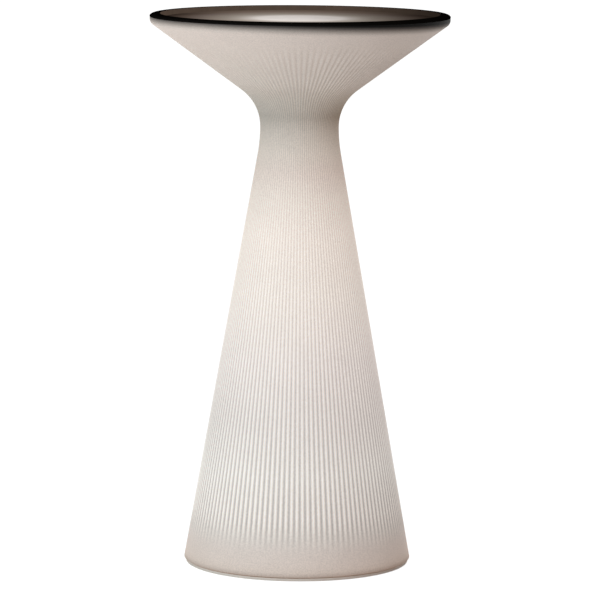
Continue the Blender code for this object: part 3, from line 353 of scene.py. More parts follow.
class Carving:
    """A piece that gets its openings and its lugs from other shapes, one after another."""

    def __init__(self, blank: Workpiece) -> None:
        """Clamps the blank."""
        self.blank = in_scene("carved_blank", blank.mesh("carved_blank"))
        self.tools: list[bpy.types.Object] = []

    def apply(self, cut: Cut, *tools: Workpiece) -> "Carving":
        """Takes shapes away or adds them.

        Args:
            cut: Which of the two.
            tools: The shapes, in the order in which they are used.

        Returns:
            The carving itself.
        """
        for tool in tools:
            step = self.blank.modifiers.new(cut.value.lower(), "BOOLEAN")
            step.object = in_scene("carving_tool", tool.mesh("carving_tool"))
            step.operation = cut.value
            step.solver = "EXACT"
            self.tools.append(step.object)
        return self

    def finished(self) -> Workpiece:
        """Unclamps the carved shape.

        Returns:
            The carved shape, back on the bench, with doubles merged.
        """
        bpy.context.view_layer.update()
        carved = bpy.data.meshes.new_from_object(self.blank.evaluated_get(bpy.context.evaluated_depsgraph_get()))
        work = Workpiece()
        work.bm.from_mesh(carved)
        for obj in [self.blank, *self.tools]:
            bpy.data.objects.remove(obj, do_unlink=True)
        bpy.data.meshes.remove(carved)
        return work.merged()


# Finishes


class NodeSheet:
    """The node tree of a material or a world, with short ways to add and join nodes."""

    def __init__(self, owner: bpy.types.Material | bpy.types.World) -> None:
        """Opens the owner's tree, which has only the nodes that it starts with."""
        owner.use_nodes = True
        self.owner, self.tree = owner, owner.node_tree

    def node(self, kind: str, wires: dict[str | int, object] | None = None, **settings: object) -> bpy.types.Node:
        """Adds a node.

        Args:
            kind: The node's type.
            wires: What its inputs get, by their name or number.
            settings: What its own settings are.

        Returns:
            The node.
        """
        made = self.tree.nodes.new(kind)
        for name, value in settings.items():
            setattr(made, name, value)
        for name, value in (wires or {}).items():
            self.feed(made.inputs[name], value)
        return made

    def feed(self, target: Socket, value: object) -> None:
        """Joins a wire to an input or sets it.

        Args:
            target: The input.
            value: A wire, a number, a vector or a colour.
        """
        if isinstance(value, Socket):
            self.tree.links.new(value, target)
        else:
            target.default_value = (*value, 1.0) if target.type == "RGBA" else value

    def finished(self, inputs: dict[str, object]) -> bpy.types.Material:
        """Feeds the Principled shader.

        Args:
            inputs: What its inputs get, by their name.

        Returns:
            The finished material.
        """
        for name, value in inputs.items():
            self.feed(self.tree.nodes["Principled BSDF"].inputs[name], value)
        return self.owner

    def place(self) -> Socket:
        """The Object coordinates, which stay with the piece."""
        return self.node("ShaderNodeTexCoord").outputs["Object"]

    def stretched(self, scale: Triple) -> Socket:
        """Object coordinates, stretched along each axis, for grain that runs one way."""
        return self.node("ShaderNodeMapping", {"Vector": self.place(), "Scale": scale}).outputs["Vector"]

    def axis_distance(self) -> Socket:
        """How far a point is from the table's upright axis."""
        length = self.node("ShaderNodeVectorMath", {0: self.stretched((1.0, 1.0, 0.0))}, operation="LENGTH")
        return length.outputs["Value"]

    def along(self, axis: str) -> Socket:
        """How far along the X, Y or Z axis a point is."""
        return self.node("ShaderNodeSeparateXYZ", {0: self.place()}).outputs[axis]

    def noise(self, scale: float, detail: float, where: Socket | None = None) -> Socket:
        """Cloudy variation between 0 and 1.

        Args:
            scale: Clouds to the metre.
            detail: How many finer layers are added.
            where: Coordinates to read, the piece's own where none are given.

        Returns:
            The strength of the clouds.
        """
        wires = {"Vector": where or self.place(), "Scale": scale, "Detail": detail}
        return self.node("ShaderNodeTexNoise", wires).outputs["Fac"]

    def varied(self, scale: float, detail: float, low: float, high: float) -> Socket:
        """A number that varies between two values from cloud to cloud."""
        return self.spread(self.noise(scale, detail), NOISE_BAND, (low, high))

    def spread(self, value: Socket, old: Pair, new: Pair = (0.0, 1.0)) -> Socket:
        """Spreads a value from one range over another, held at its ends."""
        limits = dict(zip(("From Min", "From Max", "To Min", "To Max"), (*old, *new)))
        return self.node("ShaderNodeMapRange", {"Value": value, **limits}).outputs["Result"]

    def worked(self, operation: str, first: Socket, second: Socket | float) -> Socket:
        """The sum, product or maximum of two numbers."""
        return self.node("ShaderNodeMath", {0: first, 1: second}, operation=operation).outputs[0]

    def ramp(self, value: Socket, stops: Sequence[tuple[float, Sequence[float]]]) -> Socket:
        """Makes a colour that changes evenly from stop to stop.

        Args:
            value: A value between 0 and 1.
            stops: The value and the colour of each stop.

        Returns:
            The colour.
        """
        made = self.node("ShaderNodeValToRGB", {"Fac": value})
        points = made.color_ramp.elements
        while len(points) < len(stops):
            points.new(0.5)
        for point, (where, colour) in zip(points, stops):
            point.position = where
            point.color = (*colour, 1.0)
        return made.outputs["Color"]

    def mix(self, how: Socket | float, first: object, second: object, blend: str = "MIX") -> Socket:
        """Mixes two colours.

        Args:
            how: Share of the second colour, as a wire or a number.
            first: A colour or a wire.
            second: A colour or a wire.
            blend: The way that they mix.

        Returns:
            The mixed colour.
        """
        wires = {0: how, 6: first, 7: second}
        return self.node("ShaderNodeMix", wires, data_type="RGBA", blend_type=blend).outputs[2]

    def times(self, first: object, *others: Socket) -> Socket:
        """Multiplies colours and numbers.

        Args:
            first: A colour or a wire.
            others: What it is multiplied by, one after another.

        Returns:
            The product.
        """
        for other in others:
            first = self.mix(1.0, first, other, "MULTIPLY")
        return first

    def bump(self, height: Socket, depth: float) -> Socket:
        """A surface that is raised by up to this depth where the height is 1."""
        return self.node("ShaderNodeBump", {"Distance": depth, "Height": height}).outputs["Normal"]

    def seen(self) -> Socket:
        """Tells what is looked at from what only gives light.

        Returns:
            1 for rays from the camera, from gloss and through glass, and 0 for light that falls on things.
        """
        path = self.node("ShaderNodeLightPath").outputs
        direct = self.worked("MAXIMUM", path["Is Camera Ray"], path["Is Glossy Ray"])
        return self.worked("MAXIMUM", direct, path["Is Transmission Ray"])


@dataclass(frozen=True)
class GlowStop:
    """How the moulded body looks at one height: its glow, and how far painted shade darkens its colour there."""

    height: float
    glow: Triple
    painted_shade_factor: float = 1.0


@dataclass(frozen=True)
class GlowingSkin:
    """Opal rotomoulded polyethylene, lit from inside. Painted shade darkens its grooves and a painted highlight
    lightens its crests.
    Its glow is painted darker as shade at the neck under the flare, and its colour and glow at the foot's lower edge
    and under the rim;
    one side is painted lighter and the other darker.
    """

    name: str = "opal glowing polyethylene"
    colour: Triple = (0.56, 0.505, 0.455)
    roughness: float = 0.5
    specular: float = 0.04
    fleck_scale: float = 420.0
    fleck: Pair = (0.90, 1.10)
    cloud_scale: float = 14.0
    cloud: Pair = (0.985, 1.015)
    grain_scale: float = 900.0
    grain_depth: float = 0.00012
    # Painted shade multiplied into the grooves and painted highlight multiplied onto the crests.
    painted_groove_shade: Triple = (0.64, 0.64, 0.65)
    painted_crest_highlight: Triple = (1.36, 1.36, 1.35)
    # How steeply painted side light and shade change across X, on the flare and at the foot, and the heights where they
    # apply.
    flare_painted_side_slope: float = 1.2
    flare: Pair = (0.90, 1.00)
    foot_painted_side_slope: float = 0.5
    foot: Pair = (0.15, 0.25)
    # Painted shade under the rim: across X it reaches lower on one side than on the other.
    fade: Pair = (1.055, 1.075)
    painted_shade_lean_across: Pair = (-0.20, 0.28)
    painted_shade_lean: Pair = (-0.0042, 0.0060)
    # The glow is the inner light, painted darker as shade at the neck (0.900) and under the rim; a stop's last number
    # paints its colour darker as shade.
    stops: tuple[GlowStop, ...] = (
        GlowStop(0.010, (0.150, 0.085, 0.055), 0.85),
        GlowStop(0.018, (0.260, 0.190, 0.155)),
        GlowStop(0.030, (0.293, 0.225, 0.193)),
        GlowStop(0.055, (0.297, 0.238, 0.213)),
        GlowStop(0.085, (0.313, 0.275, 0.253)),
        GlowStop(0.120, (0.375, 0.337, 0.315)),
        GlowStop(0.200, (0.424, 0.394, 0.371)),
        GlowStop(0.300, (0.400, 0.360, 0.343)),
        GlowStop(0.420, (0.459, 0.405, 0.384)),
        GlowStop(0.550, (0.515, 0.452, 0.410)),
        GlowStop(0.660, (0.522, 0.448, 0.400)),
        GlowStop(0.740, (0.444, 0.373, 0.326)),
        GlowStop(0.790, (0.347, 0.272, 0.235)),
        GlowStop(0.830, (0.278, 0.225, 0.187)),
        GlowStop(0.865, (0.185, 0.141, 0.110)),
        GlowStop(0.900, (0.054, 0.022, 0.000)),
        GlowStop(0.935, (0.134, 0.096, 0.069)),
        GlowStop(0.970, (0.223, 0.175, 0.148)),
        GlowStop(1.010, (0.256, 0.201, 0.173)),
        GlowStop(1.050, (0.285, 0.223, 0.194)),
        GlowStop(1.075, (0.290, 0.227, 0.200)),
        GlowStop(1.081, (0.185, 0.142, 0.122), 0.64),
        GlowStop(1.085, (0.095, 0.070, 0.058), 0.42),
        GlowStop(1.089, (0.028, 0.019, 0.016), 0.18),
        GlowStop(1.0935, BLACK, 0.02),
    )

    def make(self) -> bpy.types.Material:
        """Makes the material.

        Returns:
            The material. Close under the rim, its painted shade, a fade to black, lies lower on one side than on the
            other.
        """
        sheet = NodeSheet(bpy.data.materials.new(self.name))
        near_rim = sheet.spread(sheet.along("Z"), self.fade)
        # Painted shade: the fade to black under the rim is shifted down on one side.
        painted_shade_lean = sheet.worked("MULTIPLY", sheet.spread(sheet.along("X"), self.painted_shade_lean_across, self.painted_shade_lean), near_rim)
        low, high = self.stops[0].height, self.stops[-1].height
        along = sheet.spread(sheet.worked("ADD", sheet.along("Z"), painted_shade_lean), (low, high))
        places = [(stop.height - low) / (high - low) for stop in self.stops]
        # Painted shade: the colour darkened at the foot's lower edge and under the rim.
        tones = [Vector(self.colour) * stop.painted_shade_factor for stop in self.stops]
        skin = sheet.ramp(along, list(zip(places, tones)))
        glow = sheet.ramp(along, [(place, stop.glow) for place, stop in zip(places, self.stops)])
        ribs = sheet.node("ShaderNodeAttribute", attribute_name=RIB_SHADE).outputs["Fac"]
        # Painted groove shade and crest highlight, mixed with random flecks and clouds of tone.
        shade = sheet.mix(sheet.spread(ribs, (-1.0, 1.0)), self.painted_groove_shade, self.painted_crest_highlight)
        flecks = sheet.varied(self.fleck_scale, 3.0, *self.fleck)
        mottle_and_painted_rib_shade = sheet.times(shade, sheet.times(flecks, sheet.varied(self.cloud_scale, 2.0, *self.cloud)))
        return sheet.finished(
            {
                "Base Color": sheet.times(skin, mottle_and_painted_rib_shade),
                "Emission Color": sheet.times(glow, self.painted_side_light_and_shade(sheet), mottle_and_painted_rib_shade),
                "Emission Strength": 1.0,
                "Roughness": self.roughness,
                "Specular IOR Level": self.specular,
                "Normal": sheet.bump(sheet.noise(self.grain_scale, 2.0), self.grain_depth),
            }
        )

    def painted_side_light_and_shade(self, sheet: NodeSheet) -> Socket:
        """Paints light and shade across the glow, lighter on one side and darker on the other, on the flare, and less
        so at the foot.

        Args:
            sheet: The material's sheet.

        Returns:
            What the glow is multiplied by: the painted side light and shade.
        """
        across = [
            sheet.spread(sheet.along("X"), (-1.0 / drift, 1.0 / drift), (2.0, 0.0))
            for drift in (self.flare_painted_side_slope, self.foot_painted_side_slope)
        ]
        at_foot = sheet.spread(sheet.along("Z"), self.foot, (1.0, 0.0))
        return sheet.mix(sheet.spread(sheet.along("Z"), self.flare), sheet.mix(at_foot, WHITE, across[1]), across[0])


@dataclass(frozen=True)
class SmokedTop:
    """Smoked acrylic over the lit middle of the table. Its rings of glow are the unit's light through the disc;
    painted light is added towards -Y and in a band towards +Y, and painted shade darkens it towards +X.
    """

    name: str = "smoked acrylic top"
    base: Triple = (0.020, 0.014, 0.011)
    roughness: float = 0.6
    specular: float = 0.0
    rings: tuple[tuple[float, Triple], ...] = (
        (0.000, (0.76, 0.71, 0.68)),
        (0.084, (0.66, 0.61, 0.575)),
        (0.105, (0.45, 0.405, 0.37)),
        (0.125, (0.33, 0.29, 0.255)),
        (0.145, (0.25, 0.215, 0.185)),
        (0.175, (0.185, 0.152, 0.128)),
        (0.205, (0.120, 0.093, 0.079)),
        (0.230, (0.075, 0.054, 0.043)),
        (0.250, (0.045, 0.031, 0.024)),
        (0.275, (0.020, 0.013, 0.010)),
    )
    # Painted shade towards +X, painted light boosted towards -Y, and a painted band of light towards +Y.
    painted_side_shade: tuple[Pair, Pair] = ((-0.10, 0.25), (1.0, 0.50))
    painted_front_boost: tuple[Pair, Pair] = ((-0.11, 0.0), (1.4, 1.0))
    painted_rear_band: Pair = (0.11, 0.27)
    painted_rear_light: Triple = (0.100, 0.075, 0.058)
    haze_scale: float = 60.0
    haze: Pair = (0.96, 1.04)
    wear_scale: float = 35.0
    wear: Pair = (-0.05, 0.06)

    def make(self) -> bpy.types.Material:
        """Makes the material.

        Returns:
            The material.
        """
        sheet = NodeSheet(bpy.data.materials.new(self.name))
        reach = self.rings[-1][0]
        out = sheet.spread(sheet.axis_distance(), (0.0, reach))
        glow = sheet.ramp(out, [(radius / reach, colour) for radius, colour in self.rings])
        # Painted light: the glow boosted towards -Y, and a painted band of light added towards +Y.
        glow_and_painted_front_boost = sheet.times(glow, sheet.spread(sheet.along("Y"), *self.painted_front_boost))
        painted_rear_band = sheet.mix(sheet.spread(sheet.along("Y"), self.painted_rear_band), BLACK, self.painted_rear_light)
        # Painted shade: darker towards +X.
        fall = sheet.spread(sheet.along("X"), *self.painted_side_shade)
        haze = sheet.varied(self.haze_scale, 3.0, *self.haze)
        return sheet.finished(
            {
                "Base Color": sheet.times(self.base, haze),
                "Emission Color": sheet.times(sheet.mix(1.0, glow_and_painted_front_boost, painted_rear_band, "ADD"), fall, haze),
                "Emission Strength": 1.0,
                "Roughness": sheet.varied(self.wear_scale, 4.0, *(self.roughness + change for change in self.wear)),
                "Specular IOR Level": self.specular,
            }
        )


@dataclass(frozen=True)
class Moulded:
    """Moulded plastic or rubber with a fine grain."""

    name: str
    base: Triple
    shade: Triple
    roughness: float = 0.5
    specular: float = 0.5
    grain_scale: float = 700.0
    grain_depth: float = 0.00006
    glow: Triple | None = None
    cloud_scale: float = 40.0
    wear_scale: float = 90.0
    wear: Pair = (-0.05, 0.07)

    def lit(self, sheet: NodeSheet) -> Socket | Triple | None:
        """The colour that the piece glows in, if it does."""
        return self.glow

    def make(self) -> bpy.types.Material:
        """Makes the material.

        Returns:
            The material.
        """
        sheet = NodeSheet(bpy.data.materials.new(self.name))
        glow = self.lit(sheet)
        if glow is not None:
            sheet.finished({"Emission Color": glow, "Emission Strength": 1.0})
        return sheet.finished(
            {
                "Base Color": sheet.mix(sheet.noise(self.cloud_scale, 4.0), self.base, self.shade),
                "Roughness": sheet.varied(self.wear_scale, 3.0, *(self.roughness + change for change in self.wear)),
                "Specular IOR Level": self.specular,
                "Normal": sheet.bump(sheet.noise(self.grain_scale, 3.0), self.grain_depth),
            }
        )


@dataclass(frozen=True)
class PaintedLightRim(Moulded):
    """Black plastic with painted light on its inner wall, standing in for the light of the top."""

    name: str = "black rim plastic"
    base: Triple = (0.006, 0.005, 0.004)
    shade: Triple = (0.010, 0.008, 0.007)
    roughness: float = 0.6
    specular: float = 0.0
    grain_scale: float = 900.0
    grain_depth: float = 0.00003
    # Colour of the painted light on the inner wall.
    glow: Triple = (0.072, 0.050, 0.037)
    wall_radii: Pair = (0.2768, 0.2776)
    wall_foot: Pair = (1.0850, 1.0860)
    painted_side_shade: tuple[Pair, Pair] = ((0.08, 0.27), (1.0, 0.28))
    haze_scale: float = 50.0
    haze: Pair = (0.92, 1.08)

    def lit(self, sheet: NodeSheet) -> Socket:
        """Paints light on the inner wall.

        Args:
            sheet: The material's sheet.

        Returns:
            The painted light, with painted shade towards one side.
        """
        inner = sheet.spread(sheet.axis_distance(), self.wall_radii, (1.0, 0.0))
        over = sheet.spread(sheet.along("Z"), self.wall_foot)
        # Painted light on the inner wall, darkened towards +X as painted shade.
        wall = sheet.mix(sheet.worked("MULTIPLY", inner, over), BLACK, self.glow)
        haze = sheet.varied(self.haze_scale, 3.0, *self.haze)
        return sheet.times(wall, sheet.spread(sheet.along("X"), *self.painted_side_shade), haze)


@dataclass(frozen=True)
class Metal:
    """Bare or plated metal with marks that run one way."""

    name: str
    base: Triple
    shade: Triple
    roughness: float = 0.32
    grain: Triple = (1.0, 1.0, 12.0)
    mark_scale: float = 300.0
    mark_depth: float = 0.00002
    wear: Pair = (-0.07, 0.1)

    def make(self) -> bpy.types.Material:
        """Makes the material.

        Returns:
            The material.
        """
        sheet = NodeSheet(bpy.data.materials.new(self.name))
        marks = sheet.noise(self.mark_scale, 3.0, sheet.stretched(self.grain))
        worn = tuple(self.roughness + change for change in self.wear)
        return sheet.finished(
            {
                "Base Color": sheet.mix(marks, self.base, self.shade),
                "Roughness": sheet.spread(marks, NOISE_BAND, worn),
                "Metallic": 1.0,
                "Normal": sheet.bump(marks, self.mark_depth),
            }
        )


@dataclass(frozen=True)
class CircuitBoard:
    """Circuit board laminate with faint tracks under its lacquer."""

    name: str
    lacquer: Triple
    track: Triple
    track_scale: float = 260.0
    track_edge: Pair = (0.04, 0.07)
    track_depth: float = 0.00003
    roughness: float = 0.35

    def make(self) -> bpy.types.Material:
        """Makes the material.

        Returns:
            The material.
        """
        sheet = NodeSheet(bpy.data.materials.new(self.name))
        wires = {"Vector": sheet.place(), "Scale": self.track_scale}
        cells = sheet.node("ShaderNodeTexVoronoi", wires, feature="DISTANCE_TO_EDGE")
        tracks = sheet.spread(cells.outputs["Distance"], self.track_edge, (1.0, 0.0))
        return sheet.finished(
            {
                "Base Color": sheet.mix(tracks, self.lacquer, self.track),
                "Roughness": self.roughness,
                "Normal": sheet.bump(tracks, self.track_depth),
            }
        )


class Finish(Enum):
    """The finishes of the table, each made once. A new piece's material has its finish's name."""

    BODY = GlowingSkin()
    TOP = SmokedTop()
    RIM = PaintedLightRim()
    BASE = Moulded("warm base board", (0.88, 0.76, 0.67), (0.80, 0.68, 0.59), 0.6, 0.3, 500.0, 0.00008)
    SEAL = Moulded("black silicone", (0.016, 0.014, 0.013), (0.024, 0.021, 0.019), 0.65, 0.3)
    PAD = Moulded("grey pad rubber", (0.070, 0.070, 0.072), (0.095, 0.095, 0.095), 0.8, 0.25, 350.0, 0.0001)
    CASING = Moulded("white unit casing", (0.74, 0.74, 0.72), (0.69, 0.69, 0.67), 0.45, 0.4, 800.0, 0.00008)
    DOME = Moulded("frosted dome", (0.86, 0.86, 0.84), (0.80, 0.80, 0.78), 0.4, 0.4, glow=(0.35, 0.31, 0.26))
    BUTTON = Moulded("button rubber", (0.28, 0.29, 0.30), (0.22, 0.23, 0.24), 0.6, 0.35)
    COMPONENT = Moulded("black component plastic", (0.022, 0.022, 0.023), (0.035, 0.035, 0.036), 0.45, 0.4)
    TRAY = Moulded("grey tray plastic", (0.21, 0.21, 0.22), (0.25, 0.25, 0.26), 0.5, 0.4)
    WRAP = Moulded("cell shrink wrap", (0.03, 0.13, 0.40), (0.04, 0.16, 0.46), 0.3, 0.5, 120.0, 0.00008)
    LEAD = Moulded("red lead sheath", (0.50, 0.025, 0.015), (0.42, 0.02, 0.012), 0.4, 0.5)
    LIGHT_PIPE = Moulded("clear light pipe", (0.70, 0.82, 0.70), (0.62, 0.75, 0.62), 0.15, 0.5, glow=(0.05, 0.30, 0.06))
    PHOSPHOR = Moulded("warm phosphor", (0.95, 0.78, 0.30), (0.90, 0.72, 0.26), 0.4, 0.4, glow=(1.0, 0.82, 0.55))
    STAINLESS = Metal("stainless steel", (0.56, 0.56, 0.57), (0.46, 0.46, 0.47), 0.3)
    ZINC = Metal("zinc plate", (0.60, 0.61, 0.60), (0.50, 0.52, 0.50), 0.38)
    ALUMINIUM = Metal("aluminium sheet", (0.77, 0.77, 0.78), (0.68, 0.68, 0.69), 0.36, (1.0, 14.0, 1.0))
    BOARD = CircuitBoard("green circuit board", (0.012, 0.11, 0.045), (0.03, 0.20, 0.08))
    LIGHT_BOARD = CircuitBoard("white light board", (0.80, 0.80, 0.79), (0.70, 0.70, 0.69))

    def material(self) -> bpy.types.Material:
        """The finish's material, made on its first use."""
        return bpy.data.materials.get(self.value.name) or self.value.make()


# Sub-assemblies


class SubAssembly:
    """A group of pieces that are made and dressed together."""

    def add(
        self,
        name: str,
        work: Workpiece,
        finish: Finish,
        node: str,
        body: str = Body.TABLE.named(),
        sharp: float = 35.0,
    ) -> bpy.types.Object:
        """Puts a finished piece on the table.

        Args:
            name: The piece's name.
            work: The piece on the bench, already in its place.
            finish: Its finish, whose name is its material slot's too.
            node: The part's own node that it stands for.
            body: The body that it rides on.
            sharp: Edges that turn more than this many degrees stay crisp.

        Returns:
            The piece.
        """
        mesh = work.mesh(name, sharp)
        mesh.materials.append(finish.material())
        piece = in_scene(name, mesh)
        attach(piece, body)
        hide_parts(node)
        log.info("%s: %d faces", name, len(mesh.polygons))
        return piece

    def add_seal(self, name: str, node: str, radii: Pair, heights: Pair, steps: int) -> None:
        """Puts a flat silicone ring on the table.

        Args:
            name: The ring's name.
            node: The part's own node that it stands for.
            radii: Its inner and outer radius.
            heights: Its underside and top.
            steps: Facets round it.
        """
        (inner, outer), (low, high) = radii, heights
        edge = [(inner, low), (outer, low), (outer, high), (inner, high)]
        self.add(name, Workpiece().turned(edge, steps, closed=True), Finish.SEAL, node)

    def dress(self, finish: Finish, *nodes: str, count: int = 0) -> None:
        """Gives nodes of the part itself their finish.

        Args:
            finish: The finish.
            nodes: Their names.
            count: Where given, each name stands for so many numbered nodes.
        """
        numbered = [f"{stem}_{number}" for stem in nodes for number in range(1, count + 1)]
        for name in numbered or nodes:
            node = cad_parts[name]
            if not node.material_slots:
                node.data.materials.append(None)
            for used in node.material_slots:
                used.material = finish.material()
            log.info("%s: dressed in %s", name, finish.value.name)


@dataclass
class RibbedBody(SubAssembly):
    """The moulded body: foot, cone, waist, flare and shoulder, with ribs that fade out at both ends."""

    foot_radius: float = 0.2264
    foot_height: float = 0.0088
    foot_curve: float = 0.0015
    waist_radius: float = 0.0781
    waist_height: float = 0.8755
    lower_curve: float = 0.307
    upper_curve: float = 0.091
    shoulder_radius: float = 0.2976
    shoulder_height: float = 1.0888
    shoulder_curve: float = 0.013
    seam_height: float = 1.0935
    step_radius: float = 0.290
    deck_height: float = 1.0801
    wall: float = 0.005
    foot_opening: float = 0.1924
    ribs: int = 120
    rib_points: int = 8
    rib_depth: float = 0.0014
    rib_foot: Pair = (0.045, 0.115)
    rib_top: Pair = (1.005, 1.062)
    fade_points: int = 6
    long_rise: float = 0.05
    long_points: int = 5
    screw_circles: Pair = (0.2024, 0.26303)
    boss_radius: float = 0.0055
    boss_depth: float = 0.0065
    boss_inset: float = 0.00003
    inner_step: float = 0.012
    # How the painted groove shade and crest highlight grow with the groove's depth, and how strong they are up the
    # flare.
    painted_shade_power: float = 1.4
    flare: Pair = (0.90, 1.0)
    flare_painted_shade: Pair = (1.6, 0.08)

    def facing(self, lower: Pair, upper: Pair, lower_curve: float, upper_curve: float) -> float:
        """The way that the straight wall between two curves faces, where they bend opposite ways."""
        across, rise = upper[0] - lower[0], upper[1] - lower[1]
        return math.atan2(rise, across) - math.acos((lower_curve - upper_curve) / math.hypot(across, rise))

    def outline(self) -> list[Triple]:
        """The outer line from foot to shoulder.

        Returns:
            Radius, height and facing of each point.
        """
        foot = (self.foot_radius - self.foot_curve, self.foot_height + self.foot_curve)
        low_waist = (self.waist_radius + self.lower_curve, self.waist_height)
        high_waist = (self.waist_radius + self.upper_curve, self.waist_height)
        shoulder = (self.shoulder_radius - self.shoulder_curve, self.shoulder_height)
        cone = self.facing(foot, low_waist, self.foot_curve, -self.lower_curve)
        flare = self.facing(high_waist, shoulder, -self.upper_curve, self.shoulder_curve)
        stretches = (
            (foot, self.foot_curve, -QUARTER_TURN, cone, 4),
            (low_waist, -self.lower_curve, cone, 0.0, 9),
            (high_waist, -self.upper_curve, 0.0, flare, 14),
            (shoulder, self.shoulder_curve, flare, 0.0, 7),
        )
        line: list[Triple] = []
        for centre, curve, start, end, steps in stretches:
            turns = [start + (end - start) * step / steps for step in range(steps + 1)]
            points = arc(centre, curve, start, end, steps)
            run = [(radius, height, turn) for (radius, height), turn in zip(points, turns)]
            if line:
                line += self.straight(line[-1], run[0])
            line += run
        return line

    def straight(self, below: Triple, above: Triple) -> list[Triple]:
        """Fills a straight stretch of the line.

        Args:
            below: The point at its lower end.
            above: The point at its upper end.

        Returns:
            The points between them, closer together where the ribs fade.
        """
        shares = [step / self.fade_points for step in range(self.fade_points + 1)]
        fades = [low + (high - low) * share for low, high in (self.rib_foot, self.rib_top) for share in shares]
        heights = [height for height in fades if below[1] < height < above[1]]
        rise = above[1] - below[1]
        if rise > self.long_rise:
            heights += [below[1] + rise * step / self.long_points for step in range(1, self.long_points)]
        made = []
        for height in sorted(heights):
            share = (height - below[1]) / rise
            made.append((below[0] + share * (above[0] - below[0]), height, below[2]))
        return made

    def groove(self, radius: float, height: float) -> float:
        """Finds how deep the grooves are. They grow with the radius and fade out softly.

        Args:
            radius: The wall's radius.
            height: Its height.

        Returns:
            Their depth there.
        """
        low = (height - self.rib_foot[0]) / (self.rib_foot[1] - self.rib_foot[0])
        high = (self.rib_top[1] - height) / (self.rib_top[1] - self.rib_top[0])
        share = max(0.0, min(1.0, low, high))
        return self.rib_depth * radius / self.foot_radius * share * share * (3.0 - 2.0 * share)

    def inside(self, line: Sequence[Triple]) -> list[Pair]:
        """Sets the outer line in by the wall.

        Args:
            line: The outer line.

        Returns:
            The inner line, from the deck down to the foot's opening.
        """
        ceiling, floor = self.deck_height - self.wall, self.foot_height + self.wall
        inner: list[Pair] = []
        # The first 5 and the last 8 points are the curves of the foot and the shoulder, which the inside leaves out.
        for radius, height, facing in line[5:-8]:
            depth = self.wall + self.groove(radius, height)
            point = (radius - depth * math.cos(facing), height - depth * math.sin(facing))
            if floor < point[1] < ceiling and (not inner or point[1] - inner[-1][1] > self.inner_step):
                inner.append(point)
        first, last = inner[0], inner[-1]
        top = (last[0] + (ceiling - last[1]) * math.tan(-line[-9][2]), ceiling)
        bottom = (first[0] - (floor - first[1]) * math.tan(line[6][2]), floor)
        mouth = [(self.foot_opening, floor), (self.foot_opening, self.foot_height)]
        return [(0.0, ceiling), top, *reversed(inner), bottom, *mouth]

    def build(self) -> None:
        """Makes the ribbed shell, with its deck, foot flange and screw bosses."""
        work = self.one_rib()
        step = FULL_TURN / self.ribs
        for copies in factors(self.ribs):
            work.repeated(copies, step)
            step *= copies
        work.merged()
        floor, ceiling = self.foot_height + self.wall, self.deck_height - self.wall
        heights = ((floor, floor + self.boss_depth), (ceiling - self.boss_depth, ceiling))
        for circle, (low, high) in zip(self.screw_circles, heights):
            for x, y, _ in around(SCREWS, circle):
                work.rod(self.boss_radius, low + self.boss_inset, high - self.boss_inset, 20, (x, y))
        self.add("ribbed_body", work, Finish.BODY, "body_shell", sharp=50.0)

    def one_rib(self) -> Workpiece:
        """Makes the slice of the shell that holds one rib, from crest to crest.

        Returns:
            The slice, with each point's painted shade or highlight in its RIB_SHADE layer, from -1 in a groove to 1 on
            a crest.
        """
        line = self.outline()
        work = Workpiece()
        bm = work.bm
        depth, tilt, shade = (bm.verts.layers.float.new(name) for name in ("groove", "facing", RIB_SHADE))
        rings = [(radius, height, facing, self.groove(radius, height)) for radius, height, facing in line]
        seat = [(self.shoulder_radius, self.seam_height), (self.step_radius, self.seam_height)]
        seat += [(self.step_radius, self.deck_height), (0.0, self.deck_height)]
        rings += [(radius, height, 0.0, 0.0) for radius, height in (*seat, *self.inside(line))]
        verts = []
        for radius, height, facing, sunk in rings:
            vert = bm.verts.new((radius, 0.0, height))
            vert[depth], vert[tilt] = sunk, facing
            verts.append(vert)
        deck_centre = verts[len(line) + len(seat) - 1]
        edges = [bm.edges.new(pair) for pair in zip(verts, verts[1:]) if pair[0] is not deck_centre]
        edges.append(bm.edges.new((verts[-1], verts[0])))
        work.swept(verts + edges, FULL_TURN / self.ribs, self.rib_points)
        for vert in bm.verts:
            if vert[depth] > 0.0:
                # Painted shade in the grooves and painted highlight on the crests, stored per point.
                strength = (vert[depth] / self.rib_depth) ** self.painted_shade_power * self.painted_rib_shade_strength(vert.co.z)
                vert[shade] = (1.0 - 2.0 * self.sink(vert, vert[depth], vert[tilt])) * strength
        return work

    def painted_rib_shade_strength(self, height: float) -> float:
        """Finds how strongly the painted groove shade and crest highlight show.

        Args:
            height: The height of the place.

        Returns:
            1 below the waist, more just above it, and less and less up the flare.
        """
        if height < self.waist_height:
            return 1.0
        (low, high), (first, last) = self.flare, self.flare_painted_shade
        return first + max(0.0, min(1.0, (height - low) / (high - low))) * (last - first)

    def sink(self, vert: bmesh.types.BMVert, depth: float, facing: float) -> float:
        """Sinks a point of the wall into its groove.

        Args:
            vert: The point.
            depth: Depth of the grooves there.
            facing: The way that the wall faces there.

        Returns:
            The point's place between crest, 0, and groove, 1.
        """
        angle = math.atan2(vert.co.y, vert.co.x)
        wave = 0.5 - 0.5 * math.cos(angle * self.ribs)
        radius = math.hypot(vert.co.x, vert.co.y) - depth * wave * math.cos(facing)
        height = vert.co.z - depth * wave * math.sin(facing)
        vert.co = (radius * math.cos(angle), radius * math.sin(angle), height)
        return wave


